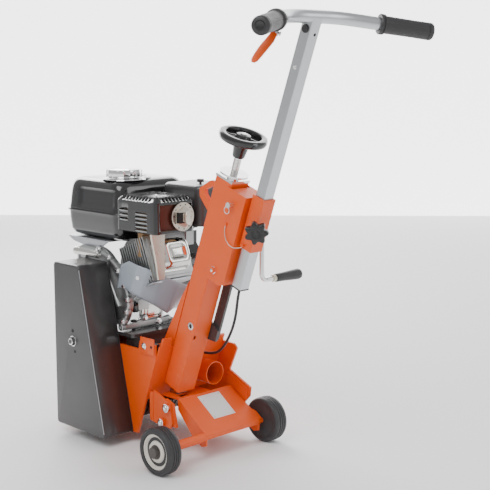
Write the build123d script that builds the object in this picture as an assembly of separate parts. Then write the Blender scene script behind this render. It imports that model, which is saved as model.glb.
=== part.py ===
from build123d import *
from math import cos, sin, tan, radians, pi, sqrt
import os

# Walk-behind drum planer for concrete floors, with a small petrol engine.
# Millimetres. While modelling, x is the machine's right, y runs forward from the
# rear axle and z rises from the floor. Parts are shifted to the origin when written.

# ---- driving dimensions -------------------------------------------------------
origin_ahead_of_axle = 41.5    # the part's origin lies this far forward of the rear axle
lean_deg = 20.0                # the column and handle lean back from vertical
running_gap = 0.06             # radial gap of a turning fit
slide_gap = 0.4                # gap of a sliding fit
cover_gap = 0.5                # gap between neighbouring covers and bodies

# rear wheels and carriage
wheel_radius = 50.0
wheel_width = 34.0
wheel_x = 154.4                # wheel centre from the middle plane
rim_radius = wheel_radius - 12.4
axle_radius = 6.0
axle_tube_radius = 10.0
cover_slope_deg = 34.5
cover_left = -36.0
cover_right = 133.0
cover_top_right = 119.0
cover_lip_y = -7.0
cover_lip_z = 57.5
cover_rise = 60.5
cover_thickness = 3.0
cheek_thickness = 4.0

# chassis
plate_thickness = 5.0
left_plate_x = -66.0           # outer face of the left side plate
right_plate_x = 135.0          # outer face of the right side plate
chassis_bottom = 24.0
chassis_top = 217.0
chassis_front = 450.0
roof_z = 205.0
housing_front = 385.0
wall_top_s = 92.0              # top of the rear wall, measured along the column
engine_base_z = 244.0
engine_plate_thickness = 8.0
port_x = 80.0
port_z = 152.0
port_radius = 26.2
port_bore_radius = 24.0
port_end_y = 88.0
port_grip = 30.0               # length of the plain stub that a hose cuff covers

# column and adjuster
column_width = 50.0
column_wall = 3.0
column_length = 497.0
column_foot_y = 116.5          # middle of the column's foot
column_foot_z = 134.5
spindle_radius = 8.0
handwheel_radius = 50.5
disc_radius = 30.0

# handle
bracket_wall = 3.0
bracket_rear = -72.0
bracket_low = 287.0
bracket_high = 490.0
fold_n = -37.0                 # fold bolt, measured across and along the column
fold_s = 310.0
fold_pin_radius = 5.0
pin_n = -44.5                  # lock pin, through the bracket's left cheek
pin_s = 462.0
pin_radius = 3.5
tube_width = 26.0
tube_wall = 2.0
tube_n = -96.0
tube_low = 298.0
bar_s = 869.0
bar_radius = 12.7
bar_half_width = 234.0
bar_sweep = 97.0
grip_length = 112.0
grip_radius = 16.8
sleeve_low = 385.0
sleeve_high = 500.0
sleeve_wall = 3.0

# engine
crank_x = 8.0
crank_y = 326.0
crank_z = 350.0
crank_radius = 12.7
cylinder_tilt_deg = 22.0
engine_left = -48.0
engine_right = 80.0

# drum
drum_y = 287.0
drum_z = 95.0
drum_radius = 58.0
cutter_radius = 76.0
drum_pulley_radius = 45.0
engine_pulley_radius = 38.0
guard_left = -147.0
guard_wall = 2.5

os.makedirs("parts", exist_ok=True)


# ---- helpers ------------------------------------------------------------------
def box(x0, x1, y0, y1, z0, z1):
    middle = Pos((x0 + x1) / 2, (y0 + y1) / 2, (z0 + z1) / 2)
    return middle * Box(x1 - x0, y1 - y0, z1 - z0)


def plate(x0, x1, outline):
    # outline of (y, z) points, filled and extruded along x
    side = Plane(origin=(x0, 0, 0), x_dir=(0, 1, 0), z_dir=(1, 0, 0))
    return extrude(side * Polygon(*outline, align=None), amount=x1 - x0, dir=(1, 0, 0))


def rod(x0, x1, y, z, radius):
    # round bar along x
    return Pos((x0 + x1) / 2, y, z) * Rot(0, 90, 0) * Cylinder(radius, x1 - x0)


def ring(x0, x1, y, z, outer, inner):
    return rod(x0, x1, y, z, outer) - rod(x0 - 1, x1 + 1, y, z, inner)


def rod_y(y0, y1, x, z, radius):
    return Pos(x, (y0 + y1) / 2, z) * Rot(90, 0, 0) * Cylinder(radius, y1 - y0)


def rod_z(z0, z1, x, y, radius):
    return Pos(x, y, (z0 + z1) / 2) * Cylinder(radius, z1 - z0)


def hexagon_x(x0, x1, y, z, across_flats):
    side = Plane(origin=(x0, y, z), x_dir=(0, 1, 0), z_dir=(1, 0, 0))
    radius = across_flats / 2 / cos(pi / 6)
    return extrude(side * RegularPolygon(radius, 6), amount=x1 - x0, dir=(1, 0, 0))


def lean(shape):
    # from column coordinates (x, across n, along s) to the machine
    frame = Plane(
        origin=(0, column_foot_y, column_foot_z),
        x_dir=(1, 0, 0),
        z_dir=(0, -sin(radians(lean_deg)), cos(radians(lean_deg))),
    )
    return frame.location * shape


def lean_point(x, n, s):
    a = radians(lean_deg)
    y = column_foot_y + n * cos(a) - s * sin(a)
    z = column_foot_z + n * sin(a) + s * cos(a)
    return (x, y, z)


def column_point(point):
    # the reverse of lean_point
    a = radians(lean_deg)
    dy = point[1] - column_foot_y
    dz = point[2] - column_foot_z
    return (point[0], dy * cos(a) + dz * sin(a), dz * cos(a) - dy * sin(a))


def along_cylinder(shape):
    # from cylinder coordinates (x, up, outwards from the crank) to the machine
    tilt = radians(cylinder_tilt_deg)
    frame = Plane(
        origin=(crank_x, crank_y, crank_z),
        x_dir=(1, 0, 0),
        z_dir=(0, -cos(tilt), sin(tilt)),
    )
    return frame.location * shape


def tube_path(points, radii, radius):
    path = FilletPolyline(*points, radius=radii)
    first = path.position_at(0)
    direction = path.tangent_at(0)
    section = Plane(origin=first, z_dir=direction) * Circle(radius)
    return sweep(section, path=path)


written = {}


def save(name, *shapes):
    solids = []
    for shape in shapes:
        solids += shape.solids()
    moved = [Pos(0, -origin_ahead_of_axle, 0) * solid for solid in solids]
    body = moved[0] if len(moved) == 1 else Compound(moved)
    export_step(body, "parts/" + name + ".step")
    written[name] = body


# ---- rear wheels and axle ------------------------------------------------------
def rear_wheel(side):
    inner = side * (wheel_x - wheel_width / 2)
    outer = side * (wheel_x + wheel_width / 2)
    x0, x1 = sorted((inner, outer))
    tyre = ring(x0, x1, 0, wheel_radius, wheel_radius, rim_radius)
    edges = tyre.edges().filter_by(GeomType.CIRCLE).filter_by(lambda e: e.radius > wheel_radius - 1)
    tyre = fillet(edges, 5)
    web = ring(x0 + 3, x1 - 3, 0, wheel_radius, rim_radius, axle_radius + running_gap)
    for face_x in (x0 + 3, x1 - 3):
        dish = ring(face_x - 6, face_x + 6, 0, wheel_radius, rim_radius - 8, 17)
        web = web - dish
    return tyre, web


def rear_axle():
    inner = wheel_x - wheel_width / 2
    outer = wheel_x + wheel_width / 2
    bolt = rod(-outer + 2, outer - 2, 0, wheel_radius, axle_radius)
    tube = rod(-inner + 2, cover_left, 0, wheel_radius, axle_tube_radius)
    shaft = bolt + tube
    nuts = []
    for side in (-1, 1):
        x0, x1 = sorted((side * (outer - 2.5), side * (outer + 5)))
        nuts.append(hexagon_x(x0, x1, 0, wheel_radius, 19))
    for nut in nuts:
        shaft = shaft + nut
    return shaft


def cover_plane():
    slope = radians(cover_slope_deg)
    return Plane(
        origin=(0, cover_lip_y, cover_lip_z),
        x_dir=(1, 0, 0),
        z_dir=(0, -sin(slope), cos(slope)),
    )


cover_length = cover_rise / sin(radians(cover_slope_deg))
shelf_y = cover_lip_y + cover_length * cos(radians(cover_slope_deg))
shelf_z = cover_lip_z + cover_rise
shelf_front = 134.0
shelf_right = 60.0


def on_cover(outline, amount):
    # an outline of (x, distance up the slope), given a thickness square to the cover
    place = cover_plane()
    return extrude(place * Polygon(*outline, align=None), amount=amount, dir=tuple(place.z_dir))


def carriage():
    outline = [
        (cover_left, 0),
        (cover_right, 0),
        (cover_right, 22),
        (cover_top_right + 7, 32),
        (cover_top_right, cover_length),
        (cover_left, cover_length),
    ]
    cover = on_cover(outline, -cover_thickness)
    shelf = box(cover_left, shelf_right, shelf_y - 3, shelf_front, shelf_z - cover_thickness, shelf_z)
    shelf = shelf - box(-22, 6, shelf_y + 6, shelf_y + 24, shelf_z - 9, shelf_z + 9)
    lip_right = cover_top_right + 1 + cheek_thickness
    lip = box(cover_left, lip_right, cover_lip_y - 2.6, cover_lip_y + 0.4, cover_lip_z - 11, cover_lip_z)
    weldment = cover + shelf + lip
    cheek_outline = [
        (cover_lip_y - 2, cover_lip_z - 3),
        (shelf_y, shelf_z - 3),
        (shelf_y, shelf_z - 24),
        (34, 44),
        (6, 28),
        (-8, 32),
        (cover_lip_y - 2, 42),
    ]
    for x0 in (cover_left, cover_top_right + 1):
        weldment = weldment + plate(x0, x0 + cheek_thickness, cheek_outline)
    above_cover = on_cover([(-100, -40), (200, -40), (200, cover_length - 4), (-100, cover_length - 4)], 60)
    weldment = weldment - above_cover
    return weldment - rod(-200, 200, 0, wheel_radius, axle_radius + running_gap)


def data_plate():
    outline = [(14, 32), (77, 32), (77, 98), (14, 98)]
    return on_cover(outline, 0.8)


def push_tube():
    foot = box(-15, 15, 110, 132, shelf_z, shelf_z + 8)
    tube = lean(rod_z(-10, 200, 0, 0, 12))
    column_part = tube - box(-40, 40, 0, 200, 0, shelf_z)
    bore = lean(rod_z(170, 201, 0, 0, spindle_radius + running_gap))
    return foot + column_part - bore


# ---- handwheel and spindle ------------------------------------------------------
hub_low = 545.0
rim_s = 588.0


def handwheel():
    rim = Pos(0, 0, rim_s) * Torus(handwheel_radius - 7, 7)
    hub = rod_z(hub_low, rim_s + 6, 0, 0, 15)
    wheel = rim + hub
    for turn in range(4):
        spoke = Rot(0, 0, 90 * turn + 45) * box(10, handwheel_radius - 8, -5.5, 5.5, rim_s - 12, rim_s - 1)
        wheel = wheel + spoke
    bore = rod_z(hub_low - 1, rim_s - 4, 0, 0, spindle_radius)
    return lean(wheel - bore)


def spindle():
    return lean(rod_z(172, rim_s - 5, 0, 0, spindle_radius - 0.02))


# ---- lift: cam lever and nut block ----------------------------------------------
lever_n = -66.0
lever_s = 405.0
cam_low = 20.0
cam_rise = 15.0
cam_turn = 150.0
stay_x = column_width / 2 + 6.5   # inner face of the lever stay
lift_x = stay_x + 7.5
lift_width = 6.0
cam_clearance = 1.2


def nut_block():
    block = box(-21, 21, -21, 21, 362, 400)
    block = block - rod_z(361, 401, 0, 0, spindle_radius + running_gap)
    lug = box(21, lift_x + 0.5, -6, 6, 366, 382)
    return lean(block + lug)


def lift_follower():
    top = lever_s - cam_low - cam_clearance
    outline = [(-78, top), (-78, top - 12), (-12, 360), (10, 360), (10, top), (-30, top)]
    arm = plate(lift_x + 0.5, lift_x + 0.5 + lift_width, outline)
    return lean(arm)


def cam_outline():
    # radius grows evenly with the turn that brings it round to the follower
    points = []
    steps = 30
    for step in range(steps + 1):
        share = step / steps
        angle = radians(-90 + cam_turn * share)
        radius = cam_low + cam_rise * share
        points.append((lever_n + radius * cos(angle), lever_s + radius * sin(angle)))
    for step in range(1, 12):
        angle = radians(-90 + cam_turn + (360 - cam_turn - 12) * step / 12)
        points.append((lever_n + 19 * cos(angle), lever_s + 19 * sin(angle)))
    return points


lever_arm_x = stay_x + 22.5
lever_arm = 104.0
lever_rod_radius = 5.0
lever_grip_x0 = lever_arm_x + 40
lever_grip_x1 = lever_grip_x0 + 75


def lift_lever():
    _, y, z = lean_point(0, lever_n, lever_s)
    shaft = rod(stay_x, lever_arm_x + 7, y, z, 8)
    boss = rod(lift_x + lift_width + 1.5, lever_arm_x + 7, y, z, 12)
    cam = lean(plate(lift_x, lift_x + lift_width + 2, cam_outline()))
    bottom = z - lever_arm
    points = [(lever_arm_x, y, z), (lever_arm_x, y, bottom), (lever_grip_x1 - 4, y, bottom)]
    arm = tube_path(points, 14, lever_rod_radius)
    return shaft + boss + cam + arm


def lift_lever_grip():
    _, y, z = lean_point(0, lever_n, lever_s)
    bottom = z - lever_arm
    collar = ring(lever_grip_x0 - 9, lever_grip_x0, y, bottom, 7.5, lever_rod_radius + running_gap)
    start = Plane(origin=(lever_grip_x0, y, bottom), z_dir=(1, 0, 0))
    end = Plane(origin=(lever_grip_x1, y, bottom), z_dir=(1, 0, 0))
    body = loft([start * Circle(8.5), end * Circle(11.5)])
    bore = rod(lever_grip_x0 - 10, lever_grip_x1 - 4 + slide_gap, y, bottom, lever_rod_radius + running_gap)
    return collar + body - bore


def lever_stay():
    outline = [(-43, 133), (-21, 133), (-21, 390), (12, 396), (12, 425), (-82, 425), (-82, 388), (-43, 362)]
    bar = plate(stay_x, stay_x + 6.5, outline)
    bar = bar - rod(stay_x - 10, stay_x + 20, lever_n, lever_s, 8 + running_gap)
    spacer = rod(column_width / 2, stay_x, 0, 412, 8)
    bolt = hexagon_x(stay_x + 6.5, stay_x + 11.5, 0, 412, 13)
    foot_bolt = hexagon_x(stay_x + 6.5, stay_x + 11.5, -32, 143, 13)
    return lean(bar + spacer + bolt + foot_bolt)


def stay_tab():
    half = column_width / 2
    outline = [(-46, 132), (-46, 158), (-24, 166), (0, 166), (0, 120), (-24, 126)]
    return lean(plate(half, half + 6.5, outline))


# ---- column ----------------------------------------------------------------------
def column():
    half = column_width / 2
    inner = half - column_wall
    outside = box(-half, half, -half, half, 0, column_length)
    outside = fillet(outside.edges().filter_by(Axis.Z), 4)
    tube = outside - box(-inner, inner, -inner, inner, -1, column_length + 1)
    tube = tube - rod(-half - 1, -half + 9, -12, 161, 4.5)
    tube = tube - box(half - 9, half + 1, -7, 7, 346, 386)
    _, hole_n, hole_s = column_point(cable_points[-1])
    tube = tube - rod(half - 9, half + 1, hole_n, hole_s, grommet_radius)
    tube = tube - box(-21, -15, -half - 1, -half + 9, 134, 143)
    return lean(tube)


def column_gusset():
    half = column_width / 2
    foot = wall_top_s + 0.5
    outline = [(half, foot), (half, 250), (half + 12, 200), (half + 30, foot)]
    plates = []
    for x0 in (-half, half - 4):
        plates.append(lean(plate(x0, x0 + 4, outline)))
    return plates


def column_cap():
    half = column_width / 2
    cap = box(-half, half, -half, half, column_length, column_length + 5)
    cap = cap - rod_z(column_length - 1, column_length + 6, 0, 0, spindle_radius + 0.5)
    return lean(cap)


def lock_disc():
    low = column_length + 5
    disc = rod_z(low, low + 6, 0, 0, 13) + rod_z(low + 6, low + 9.5, 0, 0, disc_radius)
    disc = disc - rod_z(low - 1, low + 11, 0, 0, spindle_radius + 0.5)
    return lean(disc)


def lifting_eye():
    half = column_width / 2
    outline = [(half, 478), (half + 30, 470), (half + 57, 440), (half + 50, 424), (half, 396)]
    eye = plate(-4, 4, outline)
    eye = fillet(eye.edges().filter_by(Axis.X).filter_by(lambda e: e.center().Y > half + 20), 8)
    opening = [(half + 8, 462), (half + 22, 460), (half + 40, 444), (half + 36, 436), (half + 8, 420)]
    window = plate(-5, 5, opening)
    return lean(eye - window)


def hinge_block():
    half = column_width / 2
    low = box(-half + 1, half - 1, -50, -half, fold_s - 13, fold_s + 13)
    low = low - rod(-half, half, fold_n, fold_s, fold_pin_radius + running_gap)
    high = box(-half + 1, half - 1, -50, -half, 450, 474)
    return lean(low), lean(high)


# ---- folding handle bracket --------------------------------------------------------
def handle_bracket():
    half = column_width / 2 + 0.6
    outline = [
        (-18, bracket_low - 2),
        (-18, bracket_high),
        (bracket_rear, bracket_high),
        (bracket_rear, bracket_low + 6),
        (bracket_rear + 8, bracket_low),
    ]
    bracket = plate(-half - bracket_wall, -half, outline) + plate(half, half + bracket_wall, outline)
    web = box(-half - bracket_wall, half + bracket_wall, bracket_rear - bracket_wall, bracket_rear,
              bracket_low + 6, bracket_high)
    top = box(-half, half, bracket_rear, -31, bracket_high - bracket_wall, bracket_high)
    bracket = bracket + web + top
    bracket = bracket - rod(-half - 9, -half + 1, pin_n, pin_s, pin_radius + running_gap)
    bracket = bracket + rod(-half - 8, half + 1, fold_n, fold_s, fold_pin_radius)
    bracket = bracket + hexagon_x(-half - 8, -half - bracket_wall, fold_n, fold_s, 13)
    eyelet = rod(-half - bracket_wall - 3.5, -half - bracket_wall, lanyard_n, lanyard_s, 3)
    return lean(bracket + eyelet)


def handle_sleeve():
    outer = tube_width / 2 + slide_gap + sleeve_wall
    inner = tube_width / 2 + slide_gap
    tube = box(-outer, outer, tube_n - outer, tube_n + outer, sleeve_low, sleeve_high)
    spacer_front = bracket_rear - bracket_wall
    tube = tube + box(-9, 9, tube_n + outer - 1, spacer_front, sleeve_low, sleeve_high - 8)
    tube = tube - box(-inner, inner, tube_n - inner, tube_n + inner, sleeve_low - 1, sleeve_high + 1)
    tube = tube - knob_axis() * Pos(0, 0, -8) * Cylinder(4 + slide_gap, 16)
    eyelet = rod(-outer - 6, -outer, lanyard_end_n, lanyard_end_s, 3)
    return lean(tube + eyelet)


knob_s = 440.0


def knob_axis():
    # from the sleeve's rear left corner, outwards along its diagonal
    outer = tube_width / 2 + slide_gap + sleeve_wall
    corner = Plane(origin=(-outer, tube_n - outer, knob_s), z_dir=(-1, -1, 0))
    return corner.location


def star_knob():
    body = Pos(0, 0, 18) * Cylinder(19, 16)
    for lobe in range(7):
        angle = 2 * pi * lobe / 7
        body = body + Pos(19 * cos(angle), 19 * sin(angle), 18) * Cylinder(6, 16)
    neck = Pos(0, 0, 6.5) * Cylinder(8, 9)
    corner_depth = (slide_gap + sleeve_wall) * sqrt(2)
    screw = Pos(0, 0, 3 - corner_depth / 2 + 0.3) * Cylinder(4, corner_depth + 6 - 0.6)
    return lean(knob_axis() * (body + neck + screw))


def lock_pin():
    half = column_width / 2 + 0.6
    tip = -column_width / 2 + 0.4
    head_x = -half - bracket_wall - 14
    shank = rod(head_x, tip, pin_n, pin_s, pin_radius)
    head = rod(head_x, head_x + 6, pin_n, pin_s, 6)
    pull_ring = Pos(head_x + 3, pin_n + 2, pin_s - 12) * Rot(0, 90, 0) * Torus(7, 0.9)
    return lean(shank + head + pull_ring)


def handle_tube():
    half = tube_width / 2
    inner = half - tube_wall
    tube = box(-half, half, tube_n - half, tube_n + half, tube_low, bar_s)
    tube = fillet(tube.edges().filter_by(Axis.Z), 2)
    tube = tube - box(-inner, inner, tube_n - inner, tube_n + inner, tube_low - 1, bar_s + 1)
    saddle = rod(-40, 40, tube_n, bar_s, bar_radius + 0.02)
    return lean(tube - saddle)


def tube_end_cap():
    half = tube_width / 2
    inner = half - tube_wall
    cap = box(-half, half, tube_n - half, tube_n + half, tube_low - 3.5, tube_low)
    plug = box(-inner, inner, tube_n - inner, tube_n + inner, tube_low, tube_low + 10)
    bore = rod_z(tube_low - 5, tube_low + 11, 0, tube_n, 3.6)
    return lean(cap + plug - bore)


bar_points = [
    (-bar_half_width, tube_n - bar_sweep, bar_s + 9),
    (-70, tube_n, bar_s),
    (70, tube_n, bar_s),
    (bar_half_width, tube_n - bar_sweep, bar_s + 9),
]


def handlebar():
    return lean(tube_path(bar_points, 150, bar_radius))


def grip(side):
    end = Vector(bar_points[3 if side > 0 else 0])
    bend = Vector(bar_points[2 if side > 0 else 1])
    inward = (bend - end).normalized()
    frame = Plane(origin=end - inward * 4, z_dir=inward)
    body = Pos(0, 0, grip_length / 2) * Cylinder(grip_radius, grip_length)
    body = fillet(body.edges().filter_by(GeomType.CIRCLE).sort_by(Axis.Z)[0], 5)
    flange = Pos(0, 0, grip_length - 2.5) * Cylinder(grip_radius + 3, 5)
    bore = Pos(0, 0, 4 + grip_length / 2) * Cylinder(bar_radius + 0.02, grip_length)
    return lean(frame.location * (body + flange - bore))


def stop_pivot():
    # the lever's pivot, on a clip under the bar just inside the left grip
    end = Vector(bar_points[0])
    bend = Vector(bar_points[1])
    inward = (bend - end).normalized()
    return end + inward * (grip_length + 10), inward


def stop_clip():
    pivot, inward = stop_pivot()
    frame = Plane(origin=pivot, x_dir=(0, 0, 1), z_dir=inward)
    clip = Cylinder(bar_radius + 3.5, 12) - Cylinder(bar_radius + 0.02, 14)
    ear = box(-30, -bar_radius - 2, -6, -2, -6, 6)
    ear_pair = ear + box(-30, -bar_radius - 2, 2, 6, -6, 6)
    clip = clip + ear_pair
    clip = clip - Pos(-24, 0, 0) * Rot(90, 0, 0) * Cylinder(2.5, 20)
    return lean(frame.location * clip)


def stop_lever():
    pivot, inward = stop_pivot()
    frame = Plane(origin=pivot, x_dir=(0, 0, 1), z_dir=inward)
    blade_outline = [
        (-19, 5), (-28, 5), (-34, -10), (-46, -58), (-66, -104), (-57, -110), (-38, -72), (-24, -20),
    ]
    side = Plane(origin=(0, -1.6, 0), x_dir=(1, 0, 0), z_dir=(0, 1, 0))
    points = [(a, -b) for a, b in blade_outline]
    blade = extrude(side * Polygon(*points, align=None), amount=3.2, dir=(0, 1, 0))
    pin = Pos(-24, 0, 0) * Rot(90, 0, 0) * Cylinder(2.5 - running_gap, 15)
    return lean(frame.location * (blade + pin))


# ---- cords ---------------------------------------------------------------------------
cable_radius = 3.0
cable_points = [
    lean_point(0, tube_n, tube_low - 4),
    lean_point(1, tube_n, tube_low - 22),
    (4, -62.0, 340.0),
    (8, -53.0, 312.0),
    (14, -37.0, 283.0),
    (22, -15.0, 256.0),
    (32, 10.0, 233.0),
    (41, 36.0, 216.0),
    (44, 62.0, 208.0),
    (38, 82.0, 208.0),
    (column_width / 2 + 3.8, 89.4, 211.0),
]
grommet_radius = 6.0
lanyard_n = -41.0              # the lanyard's two eyelets, on the bracket and on the sleeve
lanyard_s = 417.0
lanyard_end_n = -91.0
lanyard_end_s = 392.0


lanyard_radius = 0.8
lanyard_x = column_width / 2 + 5.5
lanyard_points = [
    lean_point(-lanyard_x, lanyard_n, lanyard_s - 3.3),
    lean_point(-lanyard_x - 0.5, -42.0, 404.0),
    lean_point(-lanyard_x - 1.0, -48.0, 393.0),
    lean_point(-lanyard_x - 1.0, -58.0, 384.0),
    lean_point(-lanyard_x - 0.5, -70.0, 380.0),
    lean_point(-28.0, -82.0, 382.0),
    lean_point(-20.6, lanyard_end_n, lanyard_end_s - 3.9),
]


def arc_radii(points):
    radii = []
    for before, here, after in zip(points, points[1:], points[2:]):
        first = Vector(here) - Vector(before)
        second = Vector(after) - Vector(here)
        turn = radians(first.get_angle(second))
        radii.append(0.45 * min(first.length, second.length) / tan(turn / 2))
    return radii


def cord_tube(name, points, radius):
    radii = arc_radii(points)
    print(name, "arc radii", [round(value, 1) for value in radii])
    path = FilletPolyline(*points, radius=radii)
    section = Plane(origin=path.position_at(0), z_dir=path.tangent_at(0)) * Circle(radius)
    tube = sweep(section, path=path)
    share = tube.volume / (path.length * pi * radius ** 2)
    print(name, "length", round(path.length, 1), "volume share", round(share, 4))
    return tube


def cable_grommet():
    # rubber ring in the column's right wall, round the cable's end
    half = column_width / 2
    _, hole_n, hole_s = column_point(cable_points[-1])
    collar = rod(half, half + 2, hole_n, hole_s, grommet_radius + 2.5)
    neck = rod(half - column_wall, half, hole_n, hole_s, grommet_radius - 0.1)
    bore = rod(half - 5, half + 1.2, hole_n, hole_s, cable_radius)
    return lean(collar + neck - bore)


# ---- chassis ----------------------------------------------------------------------------
def wall_line(z, offset=0.0):
    # y of the sloping rear wall, which lies along the column's front face
    a = radians(lean_deg)
    half = column_width / 2 + offset
    s = (z - column_foot_z - half * sin(a)) / cos(a)
    return column_foot_y + half * cos(a) - s * sin(a)


def left_side_plate():
    x0 = left_plate_x
    outline = [
        (wall_line(chassis_bottom), chassis_bottom),
        (wall_line(198), 198),
        (wall_line(198), 234),
        (wall_line(198) + 52, 236),
        (wall_line(198) + 56, chassis_top),
        (chassis_front, chassis_top),
        (chassis_front, 60),
        (chassis_front - 30, chassis_bottom),
    ]
    side = plate(x0, x0 + plate_thickness, outline)
    side = side - rod(x0 - 1, x0 + 9, drum_y, drum_z, 34)
    side = side - rod(x0 - 1, x0 + 9, 425, 37.5, 6 + running_gap)
    side = side - rod(x0 - 1, x0 + 9, 153, 222, 5)
    return side


def right_side_plate():
    x1 = right_plate_x
    outline = [
        (52, 36),
        (62, 66),
        (30, 100),
        (27, 121),
        (94, 150),
        (70, 203),
        (80, 212),
        (134, 215),
        (140, chassis_top),
        (chassis_front, chassis_top),
        (chassis_front, 60),
        (chassis_front - 30, chassis_bottom),
        (160, chassis_bottom),
    ]
    side = plate(x1 - plate_thickness, x1, outline)
    corners = side.edges().filter_by(Axis.X).filter_by(lambda e: e.center().Y < 82 and e.center().Z > 195)
    side = fillet(corners, 6)
    side = side - rod(x1 - 9, x1 + 1, drum_y, drum_z, 34)
    side = side - rod(x1 - 9, x1 + 1, 425, 37.5, 6 + running_gap)
    return side


def rear_wall():
    half = column_width / 2
    x0 = left_plate_x + plate_thickness
    x1 = right_plate_x - plate_thickness
    wall = lean(box(x0, x1, half, half + plate_thickness, -38, wall_top_s))
    wall = wall - rod_y(60, 200, port_x, port_z, port_bore_radius + 0.8)
    upstand = lean(box(x0 + 4, -half - 6, half, half + plate_thickness, wall_top_s - 1, 112))
    return wall + upstand


def dust_port():
    wall_y = wall_line(port_z)
    step_y = port_end_y + port_grip
    pipe = rod_y(port_end_y, step_y, port_x, port_z, port_radius)
    pipe = pipe + rod_y(step_y, wall_y + 25, port_x, port_z, port_radius + 0.8)
    pipe = pipe - rod_y(port_end_y - 1, step_y, port_x, port_z, port_bore_radius)
    pipe = pipe - rod_y(step_y, wall_y + 40, port_x, port_z, port_bore_radius + 0.8)
    half = column_width / 2
    behind_wall = lean(box(port_x - 60, port_x + 60, half, half + 90, -60, 120))
    return pipe - behind_wall


def housing_shell():
    x0 = left_plate_x + plate_thickness
    x1 = right_plate_x - plate_thickness
    roof = box(x0, x1, wall_line(roof_z) + 6, housing_front, roof_z, roof_z + plate_thickness)
    front = box(x0, x1, housing_front - plate_thickness, housing_front, 34, roof_z)
    return roof + front


def guide_plates():
    x0 = left_plate_x + plate_thickness + 1
    cheek_outline = [(134, 131), (82, 112), (73, 68), (84, 52), (146, 62)]
    cheek = plate(x0, x0 + 5, cheek_outline)
    link = box(x0 - 1, x0 + 5, 134, 146, 66, 126)
    strip = plate(x0 + 5, x0 + 11, [(99, 118), (76, 109), (66, 60), (88, 60)])
    bolts = []
    for y, z in ((86, 102), (103, 66)):
        bolts.append(hexagon_x(x0 - 6, x0, y, z, 13))
    left = cheek + link + strip
    for bolt in bolts:
        left = left + bolt
    x1 = right_plate_x - plate_thickness
    right = plate(x1 - 4, x1, [(96, 146), (32, 118), (34, 92), (58, 84), (98, 120)])
    return [left, right]


def engine_plate():
    low = engine_base_z - engine_plate_thickness
    sheet = box(-64, 118, 196, 440, low, engine_base_z)
    return fillet(sheet.edges().filter_by(Axis.Z), 10)


def plate_supports():
    low = roof_z + plate_thickness
    top = engine_base_z - engine_plate_thickness
    rails = []
    for y in (206, 352):
        rails.append(box(-50, 112, y, y + 32, low, top))
    rails.append(box(-54, -46, 160, 206, low + 4, top) + box(-54, -46, 128, 160, low, top - 4))
    return rails


def guard_outline(inset):
    rear_low = 197 + inset
    rear_high = 281 + inset
    return [
        (375 - inset, 24 + inset),
        (375 - inset, 397 - inset),
        (rear_high, 397 - inset),
        (rear_low, 24 + inset),
    ]


def belt_guard():
    outside = plate(guard_left, left_plate_x - 4, guard_outline(0))
    inside = plate(guard_left + guard_wall, left_plate_x, guard_outline(guard_wall))
    guard = outside - inside
    return guard - rod(guard_left - 1, guard_left + 9, 305, 226, 5 + slide_gap)


def guard_backplate():
    sheet = plate(left_plate_x - 4, left_plate_x - 1, guard_outline(0))
    sheet = sheet - rod(left_plate_x - 9, left_plate_x, crank_y, crank_z, 46)
    sheet = sheet - rod(left_plate_x - 9, left_plate_x, drum_y, drum_z, 40)
    return sheet


def guard_bolt():
    stud = rod(guard_left - 9, left_plate_x - 4, 305, 226, 5)
    nut = hexagon_x(guard_left - 7, guard_left, 305, 226, 17)
    return stud + nut


front_wheel_y = 425.0
front_wheel_radius = 37.5


def front_axle():
    x0 = left_plate_x - 6
    x1 = right_plate_x + 6
    return rod(x0, x1, front_wheel_y, front_wheel_radius, 6)


def front_wheel(x0):
    wheel = ring(x0, x0 + 28, front_wheel_y, front_wheel_radius, front_wheel_radius, 6 + running_gap)
    edges = wheel.edges().filter_by(GeomType.CIRCLE).filter_by(lambda e: e.radius > 30)
    return fillet(edges, 4)


# ---- drum and drive ------------------------------------------------------------------------
belt_xs = (-117.0, -102.0)
belt_width = 10.0


def pulley(y, z, radius, bore):
    x0 = belt_xs[0] - 3
    x1 = belt_xs[1] + belt_width + 3
    wheel = ring(x0, x1, y, z, radius, bore)
    for x in belt_xs:
        wheel = wheel - ring(x - 0.5, x + belt_width + 0.5, y, z, radius + 5, radius - 7)
    return wheel


def drum_shaft():
    shaft = rod(belt_xs[0] - 6, right_plate_x + 8, drum_y, drum_z, 12.5)
    return shaft + pulley(drum_y, drum_z, drum_pulley_radius, 10)


drum_left = -52.0
drum_right = 122.0


def drum_body():
    body = ring(drum_left, drum_right, drum_y, drum_z, 16, 12.5)
    for x in (drum_left, (drum_left + drum_right) / 2 - 3, drum_right - 6):
        body = body + ring(x, x + 6, drum_y, drum_z, drum_radius, 12.5)
    for turn in range(4):
        y, z = rod_place(turn)
        body = body - rod(drum_left - 1, drum_right + 1, y, z, 6.1)
    return body


def rod_place(turn):
    angle = pi / 4 + turn * pi / 2
    return drum_y + 46 * cos(angle), drum_z + 46 * sin(angle)


def cutter_rods():
    return [rod(drum_left, drum_right, *rod_place(turn), 6) for turn in range(4)]


def cutters():
    wheels = []
    for turn in range(4):
        y, z = rod_place(turn)
        for start, end in ((drum_left + 8, 30), (40, drum_right - 8)):
            count = int((end - start) // 12)
            for k in range(count):
                x = start + 12 * k
                star = hexagon_x(x, x + 8, y, z, 50) - rod(x - 1, x + 9, y, z, 7.5)
                wheels.append(star)
    return wheels


def drum_bearings():
    bore = 12.5 + running_gap
    left = ring(left_plate_x, left_plate_x + plate_thickness + 6, drum_y, drum_z, 33.5, bore)
    right = ring(right_plate_x - plate_thickness - 6, right_plate_x + 3, drum_y, drum_z, 33.5, bore)
    return [left, right]


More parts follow.
